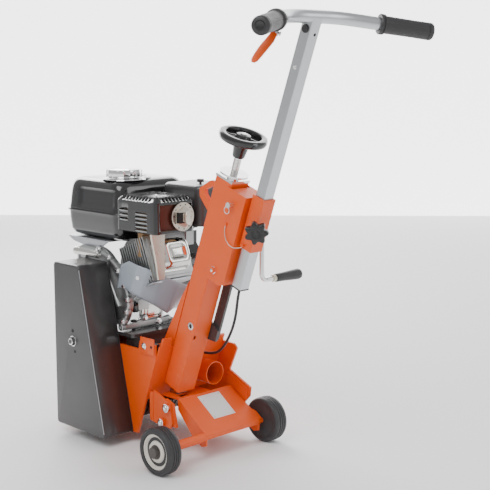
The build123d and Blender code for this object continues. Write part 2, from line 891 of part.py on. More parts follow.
def belts():
    loops = []
    for x in belt_xs:
        side = Plane(origin=(x, 0, 0), x_dir=(0, 1, 0), z_dir=(1, 0, 0))
        rings = []
        for grow in (0.5, -6.5):
            low = Pos(drum_y, drum_z) * CenterArc((0, 0), drum_pulley_radius + grow, 0, 360)
            high = Pos(crank_y, crank_z) * CenterArc((0, 0), engine_pulley_radius + grow, 0, 360)
            rings.append(make_hull(low.edges() + high.edges()))
        loops.append(extrude(side * (rings[0] - rings[1]), amount=belt_width))
    return loops


def crankshaft():
    shaft = rod(belt_xs[0] - 5, 132, crank_y, crank_z, crank_radius)
    return shaft + pulley(crank_y, crank_z, engine_pulley_radius, 10)


def flywheel():
    wheel = ring(96, 126, crank_y, crank_z, 84, crank_radius)
    return wheel


# ---- engine -----------------------------------------------------------------------------------
def crankcase():
    base = engine_base_z
    body = box(engine_left, engine_right, 246, 406, base + 6, 424)
    body = fillet(body.edges().filter_by(Axis.X), 26)
    for y in (238, 396):
        body = body + box(engine_left - 2, engine_right - 2, y, y + 18, base, base + 13)
    body = body - along_cylinder(box(-80, 120, -62, 62, 82, 260))
    body = body - box(engine_left + 8, engine_right - 8, 280, 396, base + 18, 414)
    body = body - rod(engine_left - 9, engine_right + 9, crank_y, crank_z, crank_radius + running_gap)
    for x in (-22, 53.5):
        for y in (247, 405):
            body = body - rod_z(base - 1, base + 14, x, y, 4.5)
            body = body - rod_z(base + 13, base + 40, x, y, 9)
    for x in (-20, 54):
        for y in (292, 366):
            body = body + rod_z(423, tank_bottom_z - 0.2, x, y, 9)
    return body


def crankcase_cover():
    disc = ring(engine_left - 8, engine_left, crank_y, crank_z, 76, crank_radius + running_gap + 0.5)
    ears = box(engine_left - 8, engine_left, crank_y - 78, crank_y + 60, base_of_cover(), crank_z + 10)
    cover = disc + ears
    return cover - rod(engine_left - 9, engine_left + 1, crank_y, crank_z, crank_radius + 1)


def base_of_cover():
    return engine_base_z + 20


def engine_bolts():
    bolts = []
    for x in (-22, 53.5):
        for y in (247, 405):
            top = engine_base_z + 13
            shank = rod_z(engine_base_z, top + 1, x, y, 4)
            head = rod_z(top, top + 6, x, y, 7.5)
            bolts.append(shank + head)
    return bolts


def cylinder():
    barrel = box(-40, 44, -38, 38, 82.5, 150)
    for fin in range(8):
        low = 88 + 8 * fin
        barrel = barrel + box(-56, 58, -48, 48, low, low + 2.4)
    return along_cylinder(barrel)


def cylinder_head():
    head = box(-50, 52, -44, 44, 150.2, 184)
    for fin in range(4):
        low = 153 + 8 * fin
        head = head + box(-58, 60, -50, 50, low, low + 2.4)
    return along_cylinder(head)


def rocker_cover():
    cover = box(-43, 43, -37, 37, 184.2, 216)
    cover = fillet(cover.edges().filter_by(Axis.Z), 12)
    cover = fillet(cover.edges().sort_by(Axis.Z)[-8:], 6)
    return along_cylinder(cover)


def spark_plug():
    return along_cylinder(rod_z(184.5, 206, 52.5, -12, 8) + rod_z(206, 214, 52.5, -12, 5))


def cooling_shroud():
    sheet = box(-58, 72, -56, -53, 86, 178)
    side = box(-58, 72, -53, -51, 86, 88)
    return along_cylinder(sheet + side)


def fan_housing():
    drum = ring(engine_right + 2, 166, crank_y, crank_z, 98, 92)
    back = ring(engine_right + 2, engine_right + 6, crank_y, crank_z, 95, crank_radius + 2)
    return drum + back


def recoil_starter():
    disc = rod(166.5, 184, crank_y, crank_z, 92)
    disc = disc - rod(166, 178, crank_y, crank_z, 84)
    hub = rod(178, 192, crank_y, crank_z, 48)
    outlet = box(170, 186, crank_y - 62, crank_y - 44, crank_z + 66, crank_z + 96)
    return disc + hub + outlet


def starter_grip():
    handle = box(166, 192, crank_y - 60, crank_y - 46, crank_z + 100, crank_z + 112)
    handle = fillet(handle.edges().filter_by(Axis.X), 5)
    stem = rod_z(crank_z + 96.4, crank_z + 100, 178, crank_y - 53, 4)
    return handle + stem


tank_bottom_z = 436.0
tank_wall = 2.0
tank_seam_z = 502.0
tank_top_z = 576.0


def fuel_tank():
    high = box(-55, 162, 252, 461, tank_seam_z + 1, tank_top_z)
    high = fillet(high.edges().filter_by(Axis.Z), 34)
    high = fillet(high.faces().sort_by(Axis.Z)[-1].edges(), 20)
    low = box(-50, 157, 257, 448, tank_bottom_z, tank_seam_z + 1)
    low = fillet(low.edges().filter_by(Axis.Z), 30)
    low = fillet(low.faces().sort_by(Axis.Z)[0].edges(), 16)
    seam = box(-57, 164, 250, 463, tank_seam_z - 1.5, tank_seam_z + 1.5)
    seam = fillet(seam.edges().filter_by(Axis.Z), 35)
    neck = rod_z(570, 583, cap_x, cap_y, 30)
    fan_clearance = rod(engine_right, 170, crank_y, crank_z, 101)
    tank = high + low + seam + neck - fan_clearance
    wall = tank_wall
    floor_z = crank_z + 101 + wall
    inside = box(-55 + wall, 162 - wall, 252 + wall, 461 - wall, floor_z, tank_top_z - wall)
    inside = fillet(inside.edges().filter_by(Axis.Z), 32)
    inside = inside - box(-60, 170, 245, 470, floor_z - 1, tank_seam_z) + box(
        -50 + wall, 157 - wall, 257 + wall, 448 - wall, floor_z, tank_seam_z)
    inside = fillet(inside.faces().sort_by(Axis.Z)[-1].edges(), 17)
    return tank - inside - rod_z(570, 590, cap_x, cap_y, 24)


cap_x = 10.0
cap_y = 312.0


def fuel_cap():
    cap = rod_z(580, 600, cap_x, cap_y, 41)
    cap = fillet(cap.faces().sort_by(Axis.Z)[-1].edges(), 5)
    skirt = rod_z(579, 584, cap_x, cap_y, 30 + slide_gap)
    return cap - skirt


muffler_wall = 2.0


def muffler():
    shell = box(-66, 42, 112, 246, 474, 552)
    shell = fillet(shell.edges().filter_by(Axis.Z), 10)
    top = shell.faces().sort_by(Axis.Z)[-1].edges()
    shell = chamfer(top, 9)
    inside = box(-66 + muffler_wall, 42 - muffler_wall, 112 + muffler_wall, 246 - muffler_wall,
                 474 + muffler_wall, 552 - 9)
    return shell - inside - rod_y(100, 120, outlet_x, outlet_z, 12)


outlet_x = 8.0
outlet_z = 508.0


def exhaust_outlet():
    flange = rod_y(108, 111.8, outlet_x, outlet_z, 31)
    nozzle = rod_y(94, 108, outlet_x, outlet_z, 17)
    bore = rod_y(93, 113, outlet_x, outlet_z, 12)
    return flange + nozzle - bore


def exhaust_pipe():
    pipe = box(-50, -22, 178, 202, 452, 473.8)
    pipe = fillet(pipe.edges().filter_by(Axis.Z), 9)
    return pipe - along_cylinder(box(-60, 62, -60, 50.3, 60, 200))


def carburettor():
    body = box(72, 94, 172, 226, 432, 476) + rod_z(414, 432, 84, 199, 11)
    flange = box(68.6, 72, 176, 222, 428, 470)
    elbow = box(73, 93, 180, 218, 476, 479.7)
    control_bracket = box(94, 116, 196, 214, 453, 457)
    control_bracket = control_bracket - rod_z(450, 460, 108, 204, 3 + running_gap)
    return body + flange + elbow + control_bracket


def air_cleaner():
    case = box(58, 166, 108, 242, 480, 570)
    case = fillet(case.edges().filter_by(Axis.Z), 22)
    case = fillet(case.faces().sort_by(Axis.Z)[-1].edges(), 10)
    stud = rod_z(570, 581, 96, 150, 3) + rod_z(574, 581, 96, 150, 8)
    return case + stud


def oil_filler():
    neck = rod_y(232, 245.8, -12, 302, 14)
    cap = box(-27, 3, 222, 232, 290, 314)
    drain = rod_y(238, 246, 26, 270, 8)
    return [neck + cap, drain]


def throttle_lever():
    pivot = rod_z(451, 457.4, 108, 204, 3) + rod_z(457.4, 467, 108, 204, 6)
    lever = box(105, 111, 200, 240, 462, 465)
    knob = rod_z(460, 470, 108, 240, 6)
    return pivot + lever + knob


def choke_lever():
    pivot = rod(94.4, 101, 222, 462, 4)
    arm = plate(98, 101, [(218, 458), (226, 458), (230, 428), (220, 428)])
    return pivot + arm


# ---- write the parts ------------------------------------------------------------------------------
for side, word in ((-1, "left"), (1, "right")):
    tyre, web = rear_wheel(side)
    save("tyre_" + word, tyre)
    save("rim_" + word, web)
save("rear_axle", rear_axle())
save("carriage", carriage())
save("data_plate", data_plate())
save("push_tube", push_tube())
save("handwheel", handwheel())
save("spindle", spindle())
save("nut_block", nut_block(), lift_follower())
save("lift_lever", lift_lever())
save("lift_lever_grip", lift_lever_grip())
save("lever_stay", lever_stay(), stay_tab())
save("column", column(), *column_gusset(), *hinge_block())
save("column_cap", column_cap(), lock_disc())
save("lifting_eye", lifting_eye())
save("handle_bracket", handle_bracket(), handle_sleeve())
save("star_knob", star_knob())
save("lock_pin", lock_pin())
save("handle_tube", handle_tube())
save("tube_end_cap", tube_end_cap())
save("handlebar", handlebar(), stop_clip())
save("grips", grip(-1), grip(1))
save("stop_lever", stop_lever())
save("control_cable", cord_tube("control_cable", cable_points, cable_radius))
save("cable_grommet", cable_grommet())
save("pin_lanyard", cord_tube("pin_lanyard", lanyard_points, lanyard_radius))
save("side_plates", left_side_plate(), right_side_plate())
save("drum_housing", rear_wall(), housing_shell())
save("dust_port", dust_port())
save("guide_plates", *guide_plates())
save("engine_plate", engine_plate(), *plate_supports(), *engine_bolts())
save("belt_guard", belt_guard())
save("guard_backplate", guard_backplate(), guard_bolt())
save("front_axle", front_axle())
save("front_wheel_left", front_wheel(-58))
save("front_wheel_right", front_wheel(99))
save("drum_shaft", drum_shaft())
save("drum_body", drum_body(), *cutter_rods())
save("cutters", *cutters())
save("drum_bearings", *drum_bearings())
save("belts", *belts())
save("crankshaft", crankshaft(), flywheel())
save("crankcase", crankcase(), crankcase_cover(), *oil_filler())
save("cylinder", cylinder(), cylinder_head())
save("rocker_cover", rocker_cover())
save("spark_plug", spark_plug())
save("cooling_shroud", cooling_shroud())
save("fan_housing", fan_housing())
save("recoil_starter", recoil_starter())
save("starter_grip", starter_grip())
save("fuel_tank", fuel_tank())
save("fuel_cap", fuel_cap())
save("muffler", muffler())
save("exhaust_outlet", exhaust_outlet(), exhaust_pipe())
save("carburettor", carburettor())
save("air_cleaner", air_cleaner())
save("throttle_lever", throttle_lever())
save("choke_lever", choke_lever())
low = [min(tuple(body.bounding_box().min)[k] for body in written.values()) for k in range(3)]
high = [max(tuple(body.bounding_box().max)[k] for body in written.values()) for k in range(3)]
print(len(written), "nodes, box", [round(v, 1) for v in low], [round(v, 1) for v in high])
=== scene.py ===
import bpy
import bmesh
import numpy as np
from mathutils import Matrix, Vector


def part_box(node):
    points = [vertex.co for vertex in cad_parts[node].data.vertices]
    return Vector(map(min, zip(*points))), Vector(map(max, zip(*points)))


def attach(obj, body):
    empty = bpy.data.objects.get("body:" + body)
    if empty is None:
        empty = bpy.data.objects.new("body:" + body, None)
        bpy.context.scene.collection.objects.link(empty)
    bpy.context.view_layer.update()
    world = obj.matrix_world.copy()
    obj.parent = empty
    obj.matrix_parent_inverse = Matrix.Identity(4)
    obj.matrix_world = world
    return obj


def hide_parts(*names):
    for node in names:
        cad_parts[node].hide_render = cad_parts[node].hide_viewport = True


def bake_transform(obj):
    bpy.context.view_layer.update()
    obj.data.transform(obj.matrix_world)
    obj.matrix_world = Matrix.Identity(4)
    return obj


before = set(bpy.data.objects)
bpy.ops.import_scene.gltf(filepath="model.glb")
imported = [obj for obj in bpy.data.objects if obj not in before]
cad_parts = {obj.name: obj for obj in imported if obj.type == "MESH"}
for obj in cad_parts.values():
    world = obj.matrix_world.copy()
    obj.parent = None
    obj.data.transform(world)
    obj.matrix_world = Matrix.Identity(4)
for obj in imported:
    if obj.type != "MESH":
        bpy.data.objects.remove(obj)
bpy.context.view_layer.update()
pi = np.pi


# shared geometry helpers
# Lengths in the dictionaries are millimetres from the floor point under the rear axle's middle.
originAhead = 41.5
mast = {"lean": np.radians(20), "footY": 116.5, "footZ": 134.5}


def place(points):
    # millimetres in the machine to metres in the part's frame
    moved = np.array(points, dtype=float) - np.array([0, originAhead, 0])
    return moved / 1000


def onMast(points):
    # (x, across the mast, along the mast), turned back by the mast's lean about its foot
    p = np.array(points, dtype=float)
    c, s = np.cos(mast["lean"]), np.sin(mast["lean"])
    y = mast["footY"] + p[..., 1] * c - p[..., 2] * s
    z = mast["footZ"] + p[..., 1] * s + p[..., 2] * c
    return place(np.stack([p[..., 0], y, z], axis=-1))


engine = {"x": 8, "y": 326, "z": 350, "tilt": np.radians(22)}


def onCylinder(points):
    # (x, up, outwards from the crank), turned by the cylinder's tilt
    p = np.array(points, dtype=float)
    c, s = np.cos(engine["tilt"]), np.sin(engine["tilt"])
    y = engine["y"] - p[..., 2] * c + p[..., 1] * s
    z = engine["z"] + p[..., 2] * s + p[..., 1] * c
    return place(np.stack([p[..., 0] + engine["x"], y, z], axis=-1))


def gridQuads(rows, cols, closeRows=False, closeCols=True):
    # four corners of each cell of a grid of points, as indices
    r = np.arange(rows if closeRows else rows - 1)[:, None]
    c = np.arange(cols if closeCols else cols - 1)[None, :]
    r2, c2 = (r + 1) % rows, (c + 1) % cols
    cells = np.stack([r * cols + c, r * cols + c2, r2 * cols + c2, r2 * cols + c], axis=-1)
    return cells.reshape(-1, 4)


def makePiece(name, points, faces, material, body, smooth=True, closed=True, split=35):
    mesh = bpy.data.meshes.new(name)
    mesh.from_pydata(np.asarray(points).reshape(-1, 3).tolist(), [], [list(f) for f in faces])
    work = bmesh.new()
    work.from_mesh(mesh)
    bmesh.ops.remove_doubles(work, verts=work.verts, dist=1e-6)
    if closed:
        bmesh.ops.recalc_face_normals(work, faces=work.faces)
    work.to_mesh(mesh)
    work.free()
    mesh.update()
    if smooth:
        mesh.shade_smooth()
        mesh.set_sharp_from_angle(angle=np.radians(split))
    piece = bpy.data.objects.new(name, mesh)
    bpy.context.scene.collection.objects.link(piece)
    mesh.materials.append(material)
    if body:
        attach(piece, body)
    return piece


def joinShapes(shapes):
    # several (points, faces) as one
    points, faces, count = [], [], 0
    for p, f in shapes:
        flat = np.asarray(p).reshape(-1, 3)
        points.append(flat)
        faces += [[i + count for i in face] for face in f]
        count += len(flat)
    return np.concatenate(points), faces


def loft(rings, capStart=True, capEnd=True):
    # rings of equal count, skinned in order, with flat ends
    rings = np.asarray(rings)
    m, n = rings.shape[:2]
    faces = gridQuads(m, n).tolist()
    if capStart:
        faces.append(list(range(n))[::-1])
    if capEnd:
        faces.append([(m - 1) * n + i for i in range(n)])
    return rings, faces


def axisFrame(axis):
    axis = np.array(axis, dtype=float)
    axis /= np.linalg.norm(axis)
    helper = np.array([0, 0, 1.0]) if abs(axis[2]) < 0.9 else np.array([1.0, 0, 0])
    first = np.cross(helper, axis)
    first /= np.linalg.norm(first)
    return axis, first, np.cross(axis, first)


def lathe(profile, centre, axis, steps=64, wave=None):
    # (distance along the axis, radius) turned about it; wave changes the radius with angle and radius
    axis, first, second = axisFrame(axis)
    along, radius = np.array(profile, dtype=float).T
    angle = np.linspace(0, 2 * pi, steps, endpoint=False)
    r = radius[:, None] * np.ones(steps)[None, :]
    if wave is not None:
        r = wave(r, angle[None, :])
    spread = np.cos(angle)[None, :, None] * first + np.sin(angle)[None, :, None] * second
    points = np.array(centre, dtype=float) + along[:, None, None] * axis + r[..., None] * spread
    closedStart, closedEnd = radius[0] > 1e-4, radius[-1] > 1e-4
    return loft(points, closedStart, closedEnd)


def roundedRect(halfA, halfB, corner, perCorner=8, perSide=1):
    # four quarter circles joined by straight sides
    turn = np.linspace(0, pi / 2, perCorner)
    points = []
    for k, (sa, sb) in enumerate(((1, 1), (-1, 1), (-1, -1), (1, -1))):
        a = turn + k * pi / 2
        arc = np.stack([sa * (halfA - corner) + corner * np.cos(a),
            sb * (halfB - corner) + corner * np.sin(a)], axis=-1)
        points.append(arc)
    if perSide > 1:
        full = []
        for k in range(4):
            full.append(points[k])
            start, end = points[k][-1], points[(k + 1) % 4][0]
            share = np.linspace(0, 1, perSide + 1)[1:-1, None]
            full.append(start + share * (end - start))
        points = full
    return np.concatenate(points)


def stackedBox(levels, perCorner=8, perSide=1):
    # rounded rectangles, one for each (height, halfA, halfB, corner)
    rings = []
    for height, halfA, halfB, corner in levels:
        outline = roundedRect(halfA, halfB, corner, perCorner, perSide)
        rings.append(np.column_stack([outline, np.full(len(outline), height)]))
    return np.array(rings)


def roundEdge(low, high, edge, steps=5):
    # (height, inset) along a block with its two rims rounded to a quarter circle
    a = np.linspace(0, pi / 2, steps)
    start = np.column_stack([low + edge * (1 - np.sin(a)), edge * (1 - np.cos(a))])[::-1]
    end = np.column_stack([high - edge * (1 - np.sin(a)), edge * (1 - np.cos(a))])
    return np.concatenate([start, end])


def block(x0, x1, y0, y1, z0, z1, edge=1.5, corner=3):
    # box with rounded corners and rims, stacked along z
    levels = []
    a, b = (x1 - x0) / 2, (y1 - y0) / 2
    for height, inset in roundEdge(z0, z1, edge):
        levels.append((height, a - inset, b - inset, max(corner - inset, 0.3)))
    rings = stackedBox(levels, 5)
    return loft(rings + np.array([(x0 + x1) / 2, (y0 + y1) / 2, 0]))


def hexBolt(centre, axis, across=13, height=6, washer=9):
    # washer, six-sided head with a rounded crown, and a shank end that reaches the surface
    axis, first, second = axisFrame(axis)
    shapes = [lathe([(-1, washer * 0.4), (-1, washer), (1.2, washer), (1.6, washer - 0.5),
        (1.6, washer * 0.4)], centre, axis, 28)]
    angle = np.linspace(0, 2 * pi, 6, endpoint=False)
    ring = np.cos(angle)[:, None] * first + np.sin(angle)[:, None] * second
    radius = across / 2 / np.cos(pi / 6)
    rings = []
    for h, r in ((1.2, radius), (height, radius), (height + 0.8, radius * 0.86)):
        rings.append(np.array(centre, dtype=float) + h * axis + r * ring)
    shapes.append(loft(rings))
    return joinShapes(shapes)


def pathTube(points, radii, steps=16, caps=True, flat=1.0, up=(0, 0, 1)):
    # circle (or an ellipse, by flat) carried along a path, kept upright by one direction
    p = np.array(points, dtype=float)
    radii = np.ones(len(p)) * radii
    tangent = np.gradient(p, axis=0)
    tangent /= np.linalg.norm(tangent, axis=1)[:, None]
    side = np.cross(tangent, np.array(up, dtype=float))
    side /= np.linalg.norm(side, axis=1)[:, None]
    over = np.cross(side, tangent)
    angle = np.linspace(0, 2 * pi, steps, endpoint=False)
    ring = np.cos(angle)[None, :, None] * side[:, None, :] + flat * np.sin(angle)[None, :,
        None] * over[:, None, :]
    return loft(p[:, None, :] + radii[:, None, None] * ring, caps, caps)


# materials
def newGroup(name, inputs, outputs):
    group = bpy.data.node_groups.new(name, "ShaderNodeTree")
    for label, kind, value in inputs:
        socket = group.interface.new_socket(name=label, in_out="INPUT", socket_type=kind)
        socket.default_value = value
    for label, kind in outputs:
        group.interface.new_socket(name=label, in_out="OUTPUT", socket_type=kind)
    nodes = group.nodes
    return group, nodes.new("NodeGroupInput"), nodes.new("NodeGroupOutput")


def mathNode(nodes, links, operation, a, b, clamp=False):
    node = nodes.new("ShaderNodeMath")
    node.operation = operation
    node.use_clamp = clamp
    for socket, value in zip(node.inputs, (a, b)):
        if isinstance(value, (int, float)):
            socket.default_value = value
        else:
            links.new(value, socket)
    return node.outputs[0]


def makeMottle():
    # colour and roughness drift: large soft noise plus fine noise, about the base values
    group, start, end = newGroup("mottle", [
        ("Color", "NodeSocketColor", (0.8, 0.8, 0.8, 1)), ("Dark", "NodeSocketColor", (0.4, 0.4, 0.4, 1)),
        ("Amount", "NodeSocketFloat", 0.2), ("Roughness", "NodeSocketFloat", 0.4),
        ("Spread", "NodeSocketFloat", 0.1), ("Scale", "NodeSocketFloat", 20.0)],
        [("Color", "NodeSocketColor"), ("Roughness", "NodeSocketFloat")])
    nodes, links = group.nodes, group.links
    coords = nodes.new("ShaderNodeTexCoord")
    large = nodes.new("ShaderNodeTexNoise")
    fine = nodes.new("ShaderNodeTexNoise")
    large.inputs["Detail"].default_value = 4
    fine.inputs["Detail"].default_value = 3
    links.new(coords.outputs["Object"], large.inputs["Vector"])
    links.new(coords.outputs["Object"], fine.inputs["Vector"])
    links.new(start.outputs["Scale"], large.inputs["Scale"])
    links.new(mathNode(nodes, links, "MULTIPLY", start.outputs["Scale"], 9.0), fine.inputs["Scale"])
    blend = mathNode(nodes, links, "MULTIPLY", large.outputs["Fac"], start.outputs["Amount"], True)
    mix = nodes.new("ShaderNodeMix")
    mix.data_type = "RGBA"
    links.new(blend, mix.inputs["Factor"])
    links.new(start.outputs["Color"], mix.inputs["A"])
    links.new(start.outputs["Dark"], mix.inputs["B"])
    links.new(mix.outputs["Result"], end.inputs["Color"])
    both = mathNode(nodes, links, "ADD", large.outputs["Fac"], fine.outputs["Fac"])
    centred = mathNode(nodes, links, "SUBTRACT", both, 1.0)
    drift = mathNode(nodes, links, "MULTIPLY", centred, start.outputs["Spread"])
    links.new(mathNode(nodes, links, "ADD", start.outputs["Roughness"], drift, True),
        end.inputs["Roughness"])
    return group


def makeGrain():
    # bump height: round noise, or lines where the stretch is far from one
    group, start, end = newGroup("grain", [
        ("Scale", "NodeSocketFloat", 400.0), ("Stretch", "NodeSocketVector", (1, 1, 1)),
            ("Detail", "NodeSocketFloat", 3.0)],
        [("Height", "NodeSocketFloat")])
    nodes, links = group.nodes, group.links
    coords = nodes.new("ShaderNodeTexCoord")
    stretch = nodes.new("ShaderNodeVectorMath")
    stretch.operation = "MULTIPLY"
    noise = nodes.new("ShaderNodeTexNoise")
    links.new(coords.outputs["Object"], stretch.inputs[0])
    links.new(start.outputs["Stretch"], stretch.inputs[1])
    links.new(stretch.outputs[0], noise.inputs["Vector"])
    links.new(start.outputs["Scale"], noise.inputs["Scale"])
    links.new(start.outputs["Detail"], noise.inputs["Detail"])
    links.new(noise.outputs["Fac"], end.inputs["Height"])
    return group


def makeScuffs():
    # thin scratch and dust mask: narrow bands of a twisted noise, broken up by a second noise
    group, start, end = newGroup("scuffs", [
        ("Scale", "NodeSocketFloat", 60.0), ("Width", "NodeSocketFloat", 0.02),
            ("Cover", "NodeSocketFloat", 0.55)],
        [("Mask", "NodeSocketFloat")])
    nodes, links = group.nodes, group.links
    coords = nodes.new("ShaderNodeTexCoord")
    lines = nodes.new("ShaderNodeTexNoise")
    lines.inputs["Detail"].default_value = 2
    lines.inputs["Distortion"].default_value = 1.4
    patch = nodes.new("ShaderNodeTexNoise")
    patch.inputs["Scale"].default_value = 22
    links.new(coords.outputs["Object"], lines.inputs["Vector"])
    links.new(coords.outputs["Object"], patch.inputs["Vector"])
    links.new(start.outputs["Scale"], lines.inputs["Scale"])
    off = mathNode(nodes, links, "ABSOLUTE", mathNode(nodes, links, "SUBTRACT", lines.outputs["Fac"],
        0.5), 0)
    narrow = mathNode(nodes, links, "LESS_THAN", off, start.outputs["Width"])
    chosen = mathNode(nodes, links, "GREATER_THAN", patch.outputs["Fac"], start.outputs["Cover"])
    links.new(mathNode(nodes, links, "MULTIPLY", narrow, chosen), end.inputs["Mask"])
    return group


mottleGroup = makeMottle()
grainGroup = makeGrain()
scuffGroup = makeScuffs()

finishes = {
    "orangeEnamel": {"color": (0.84, 0.098, 0.002), "dark": (0.64, 0.060, 0.002), "amount": 0.45,
        "rough": 0.42, "spread": 0.08,
                     "coat": 0.06, "grain": 260, "bump": 0.05, "scuff": 0.35,
                     "scuffColor": (0.70, 0.25, 0.10)},
    "graphiteEnamel": {"color": (0.055, 0.053, 0.055), "dark": (0.032, 0.031, 0.033), "amount": 0.6,
        "rough": 0.34, "spread": 0.12,
                       "coat": 0.25, "grain": 700, "bump": 0.10, "scuff": 0.25,
                       "scuffColor": (0.14, 0.14, 0.14)},
    "blackEnamel": {"color": (0.012, 0.012, 0.014), "dark": (0.006, 0.006, 0.007), "amount": 0.5,
        "rough": 0.16, "spread": 0.08,
                    "coat": 0.8, "grain": 220, "bump": 0.04, "scuff": 0.2,
                        "scuffColor": (0.08, 0.08, 0.08)},
    "zincPlate": {"color": (0.80, 0.80, 0.79), "dark": (0.58, 0.58, 0.57), "amount": 0.35, "rough": 0.30,
        "spread": 0.14,
                  "metal": 1, "grain": 160, "stretch": (9, 9, 0.5), "bump": 0.05, "scuff": 0.3,
                  "scuffColor": (0.5, 0.5, 0.5)},
    "brightTube": {"color": (0.60, 0.62, 0.64), "dark": (0.48, 0.50, 0.52), "amount": 0.3, "rough": 0.34,
        "spread": 0.08,
                   "metal": 1, "grain": 150, "stretch": (10, 10, 0.6), "bump": 0.02, "scuff": 0.25,
                   "scuffColor": (0.62, 0.62, 0.62)},
    "chromePlate": {"color": (0.86, 0.86, 0.87), "dark": (0.70, 0.70, 0.71), "amount": 0.2,
        "rough": 0.06, "spread": 0.05,
                    "metal": 1, "grain": 90, "bump": 0.02},
    "machinedSteel": {"color": (0.42, 0.41, 0.40), "dark": (0.24, 0.23, 0.22), "amount": 0.5,
        "rough": 0.34, "spread": 0.16,
                      "metal": 1, "grain": 240, "stretch": (0.6, 8, 8), "bump": 0.12, "scuff": 0.4,
                      "scuffColor": (0.6, 0.6, 0.6)},
    "hardenedSteel": {"color": (0.16, 0.15, 0.145), "dark": (0.07, 0.062, 0.058), "amount": 0.7,
        "rough": 0.46, "spread": 0.2,
                      "metal": 1, "grain": 320, "bump": 0.25, "scuff": 0.5,
                      "scuffColor": (0.42, 0.41, 0.4)},
    "castAluminium": {"color": (0.56, 0.57, 0.57), "dark": (0.30, 0.30, 0.30), "amount": 0.55,
        "rough": 0.42, "spread": 0.18,
                      "metal": 1, "grain": 520, "bump": 0.35, "scuff": 0.35,
                      "scuffColor": (0.74, 0.74, 0.74)},
    "brightAluminium": {"color": (0.82, 0.81, 0.77), "dark": (0.55, 0.54, 0.50), "amount": 0.45,
        "rough": 0.14, "spread": 0.12,
                        "metal": 1, "grain": 60, "bump": 0.06},
    "shroudSteel": {"color": (0.52, 0.54, 0.57), "dark": (0.36, 0.37, 0.39), "amount": 0.5,
        "rough": 0.30, "spread": 0.12,
                    "metal": 0.8, "grain": 340, "bump": 0.08, "scuff": 0.3,
                        "scuffColor": (0.66, 0.66, 0.66)},
    "beigeZinc": {"color": (0.72, 0.68, 0.60), "dark": (0.52, 0.46, 0.38), "amount": 0.5, "rough": 0.30,
        "spread": 0.14,
                  "metal": 0.75, "grain": 200, "bump": 0.06, "scuff": 0.25,
                  "scuffColor": (0.5, 0.42, 0.33)},
    "heatedSteel": {"color": (0.34, 0.22, 0.12), "dark": (0.15, 0.085, 0.05), "amount": 0.8,
        "rough": 0.42, "spread": 0.22,
                    "metal": 0.85, "grain": 180, "bump": 0.2, "scuff": 0.4,
                        "scuffColor": (0.45, 0.33, 0.22)},
    "mufflerRed": {"color": (0.13, 0.035, 0.022), "dark": (0.04, 0.014, 0.012), "amount": 0.8,
        "rough": 0.38, "spread": 0.2,
                   "metal": 0.5, "grain": 260, "bump": 0.15},
    "cowlPaint": {"color": (0.33, 0.37, 0.42), "dark": (0.24, 0.27, 0.31), "amount": 0.5, "rough": 0.3,
        "spread": 0.1,
                  "coat": 0.3, "grain": 340, "bump": 0.08, "scuff": 0.3, "scuffColor": (0.5, 0.52, 0.55)},
    "plateBlack": {"color": (0.06, 0.055, 0.055), "dark": (0.03, 0.028, 0.028), "amount": 0.5,
        "rough": 0.22, "spread": 0.12,
                   "metal": 0.3, "grain": 300, "bump": 0.08, "scuff": 0.4, "scuffColor": (0.3, 0.28, 0.27)},
    "blackPlastic": {"color": (0.018, 0.018, 0.019), "dark": (0.010, 0.010, 0.011), "amount": 0.5,
        "rough": 0.36, "spread": 0.10,
                     "grain": 900, "bump": 0.18, "scuff": 0.2, "scuffColor": (0.06, 0.06, 0.06)},
    "glossPlastic": {"color": (0.014, 0.014, 0.015), "dark": (0.008, 0.008, 0.009), "amount": 0.4,
        "rough": 0.16, "spread": 0.08,
                     "coat": 0.4, "grain": 500, "bump": 0.06},
    "gripRubber": {"color": (0.035, 0.034, 0.036), "dark": (0.018, 0.018, 0.02), "amount": 0.6,
        "rough": 0.48, "spread": 0.16,
                   "grain": 1100, "bump": 0.35, "scuff": 0.2, "scuffColor": (0.09, 0.09, 0.09)},
    "tyreRubber": {"color": (0.040, 0.040, 0.043), "dark": (0.020, 0.020, 0.022), "amount": 0.6,
        "rough": 0.52, "spread": 0.16,
                   "grain": 1000, "bump": 0.3, "scuff": 0.5, "scuffColor": (0.12, 0.115, 0.11)},
    "rimNylon": {"color": (0.78, 0.74, 0.67), "dark": (0.60, 0.55, 0.47), "amount": 0.4, "rough": 0.42,
        "spread": 0.12,
                 "grain": 500, "bump": 0.12, "scuff": 0.35, "scuffColor": (0.45, 0.40, 0.33)},
    "cableSheath": {"color": (0.018, 0.018, 0.02), "dark": (0.008, 0.008, 0.01), "amount": 0.5,
        "rough": 0.38, "spread": 0.12,
                    "grain": 800, "bump": 0.15},
    "wireSteel": {"color": (0.72, 0.64, 0.55), "dark": (0.5, 0.42, 0.34), "amount": 0.4, "rough": 0.3,
        "spread": 0.1,
                  "metal": 0.8, "grain": 900, "bump": 0.3},
    "ivoryCollar": {"color": (0.80, 0.76, 0.60), "dark": (0.6, 0.55, 0.4), "amount": 0.4, "rough": 0.35,
        "spread": 0.1,
                    "grain": 500, "bump": 0.1},
    "platePrint": {"color": (0.88, 0.87, 0.86), "dark": (0.72, 0.71, 0.70), "amount": 0.35,
        "rough": 0.30, "spread": 0.1,
                   "metal": 0.35, "grain": 300, "bump": 0.04, "scuff": 0.3, "scuffColor": (0.6, 0.6, 0.6)},
    # painted shade: near-black finish for discs and blocks set in holes and openings, standing in for the
    # shade inside them
    "paintedOpeningShade": {"color": (0.006, 0.006, 0.006), "dark": (0.002, 0.002, 0.002), "amount": 0.4,
        "rough": 0.7, "spread": 0.1,
                "grain": 200, "bump": 0.1},
}


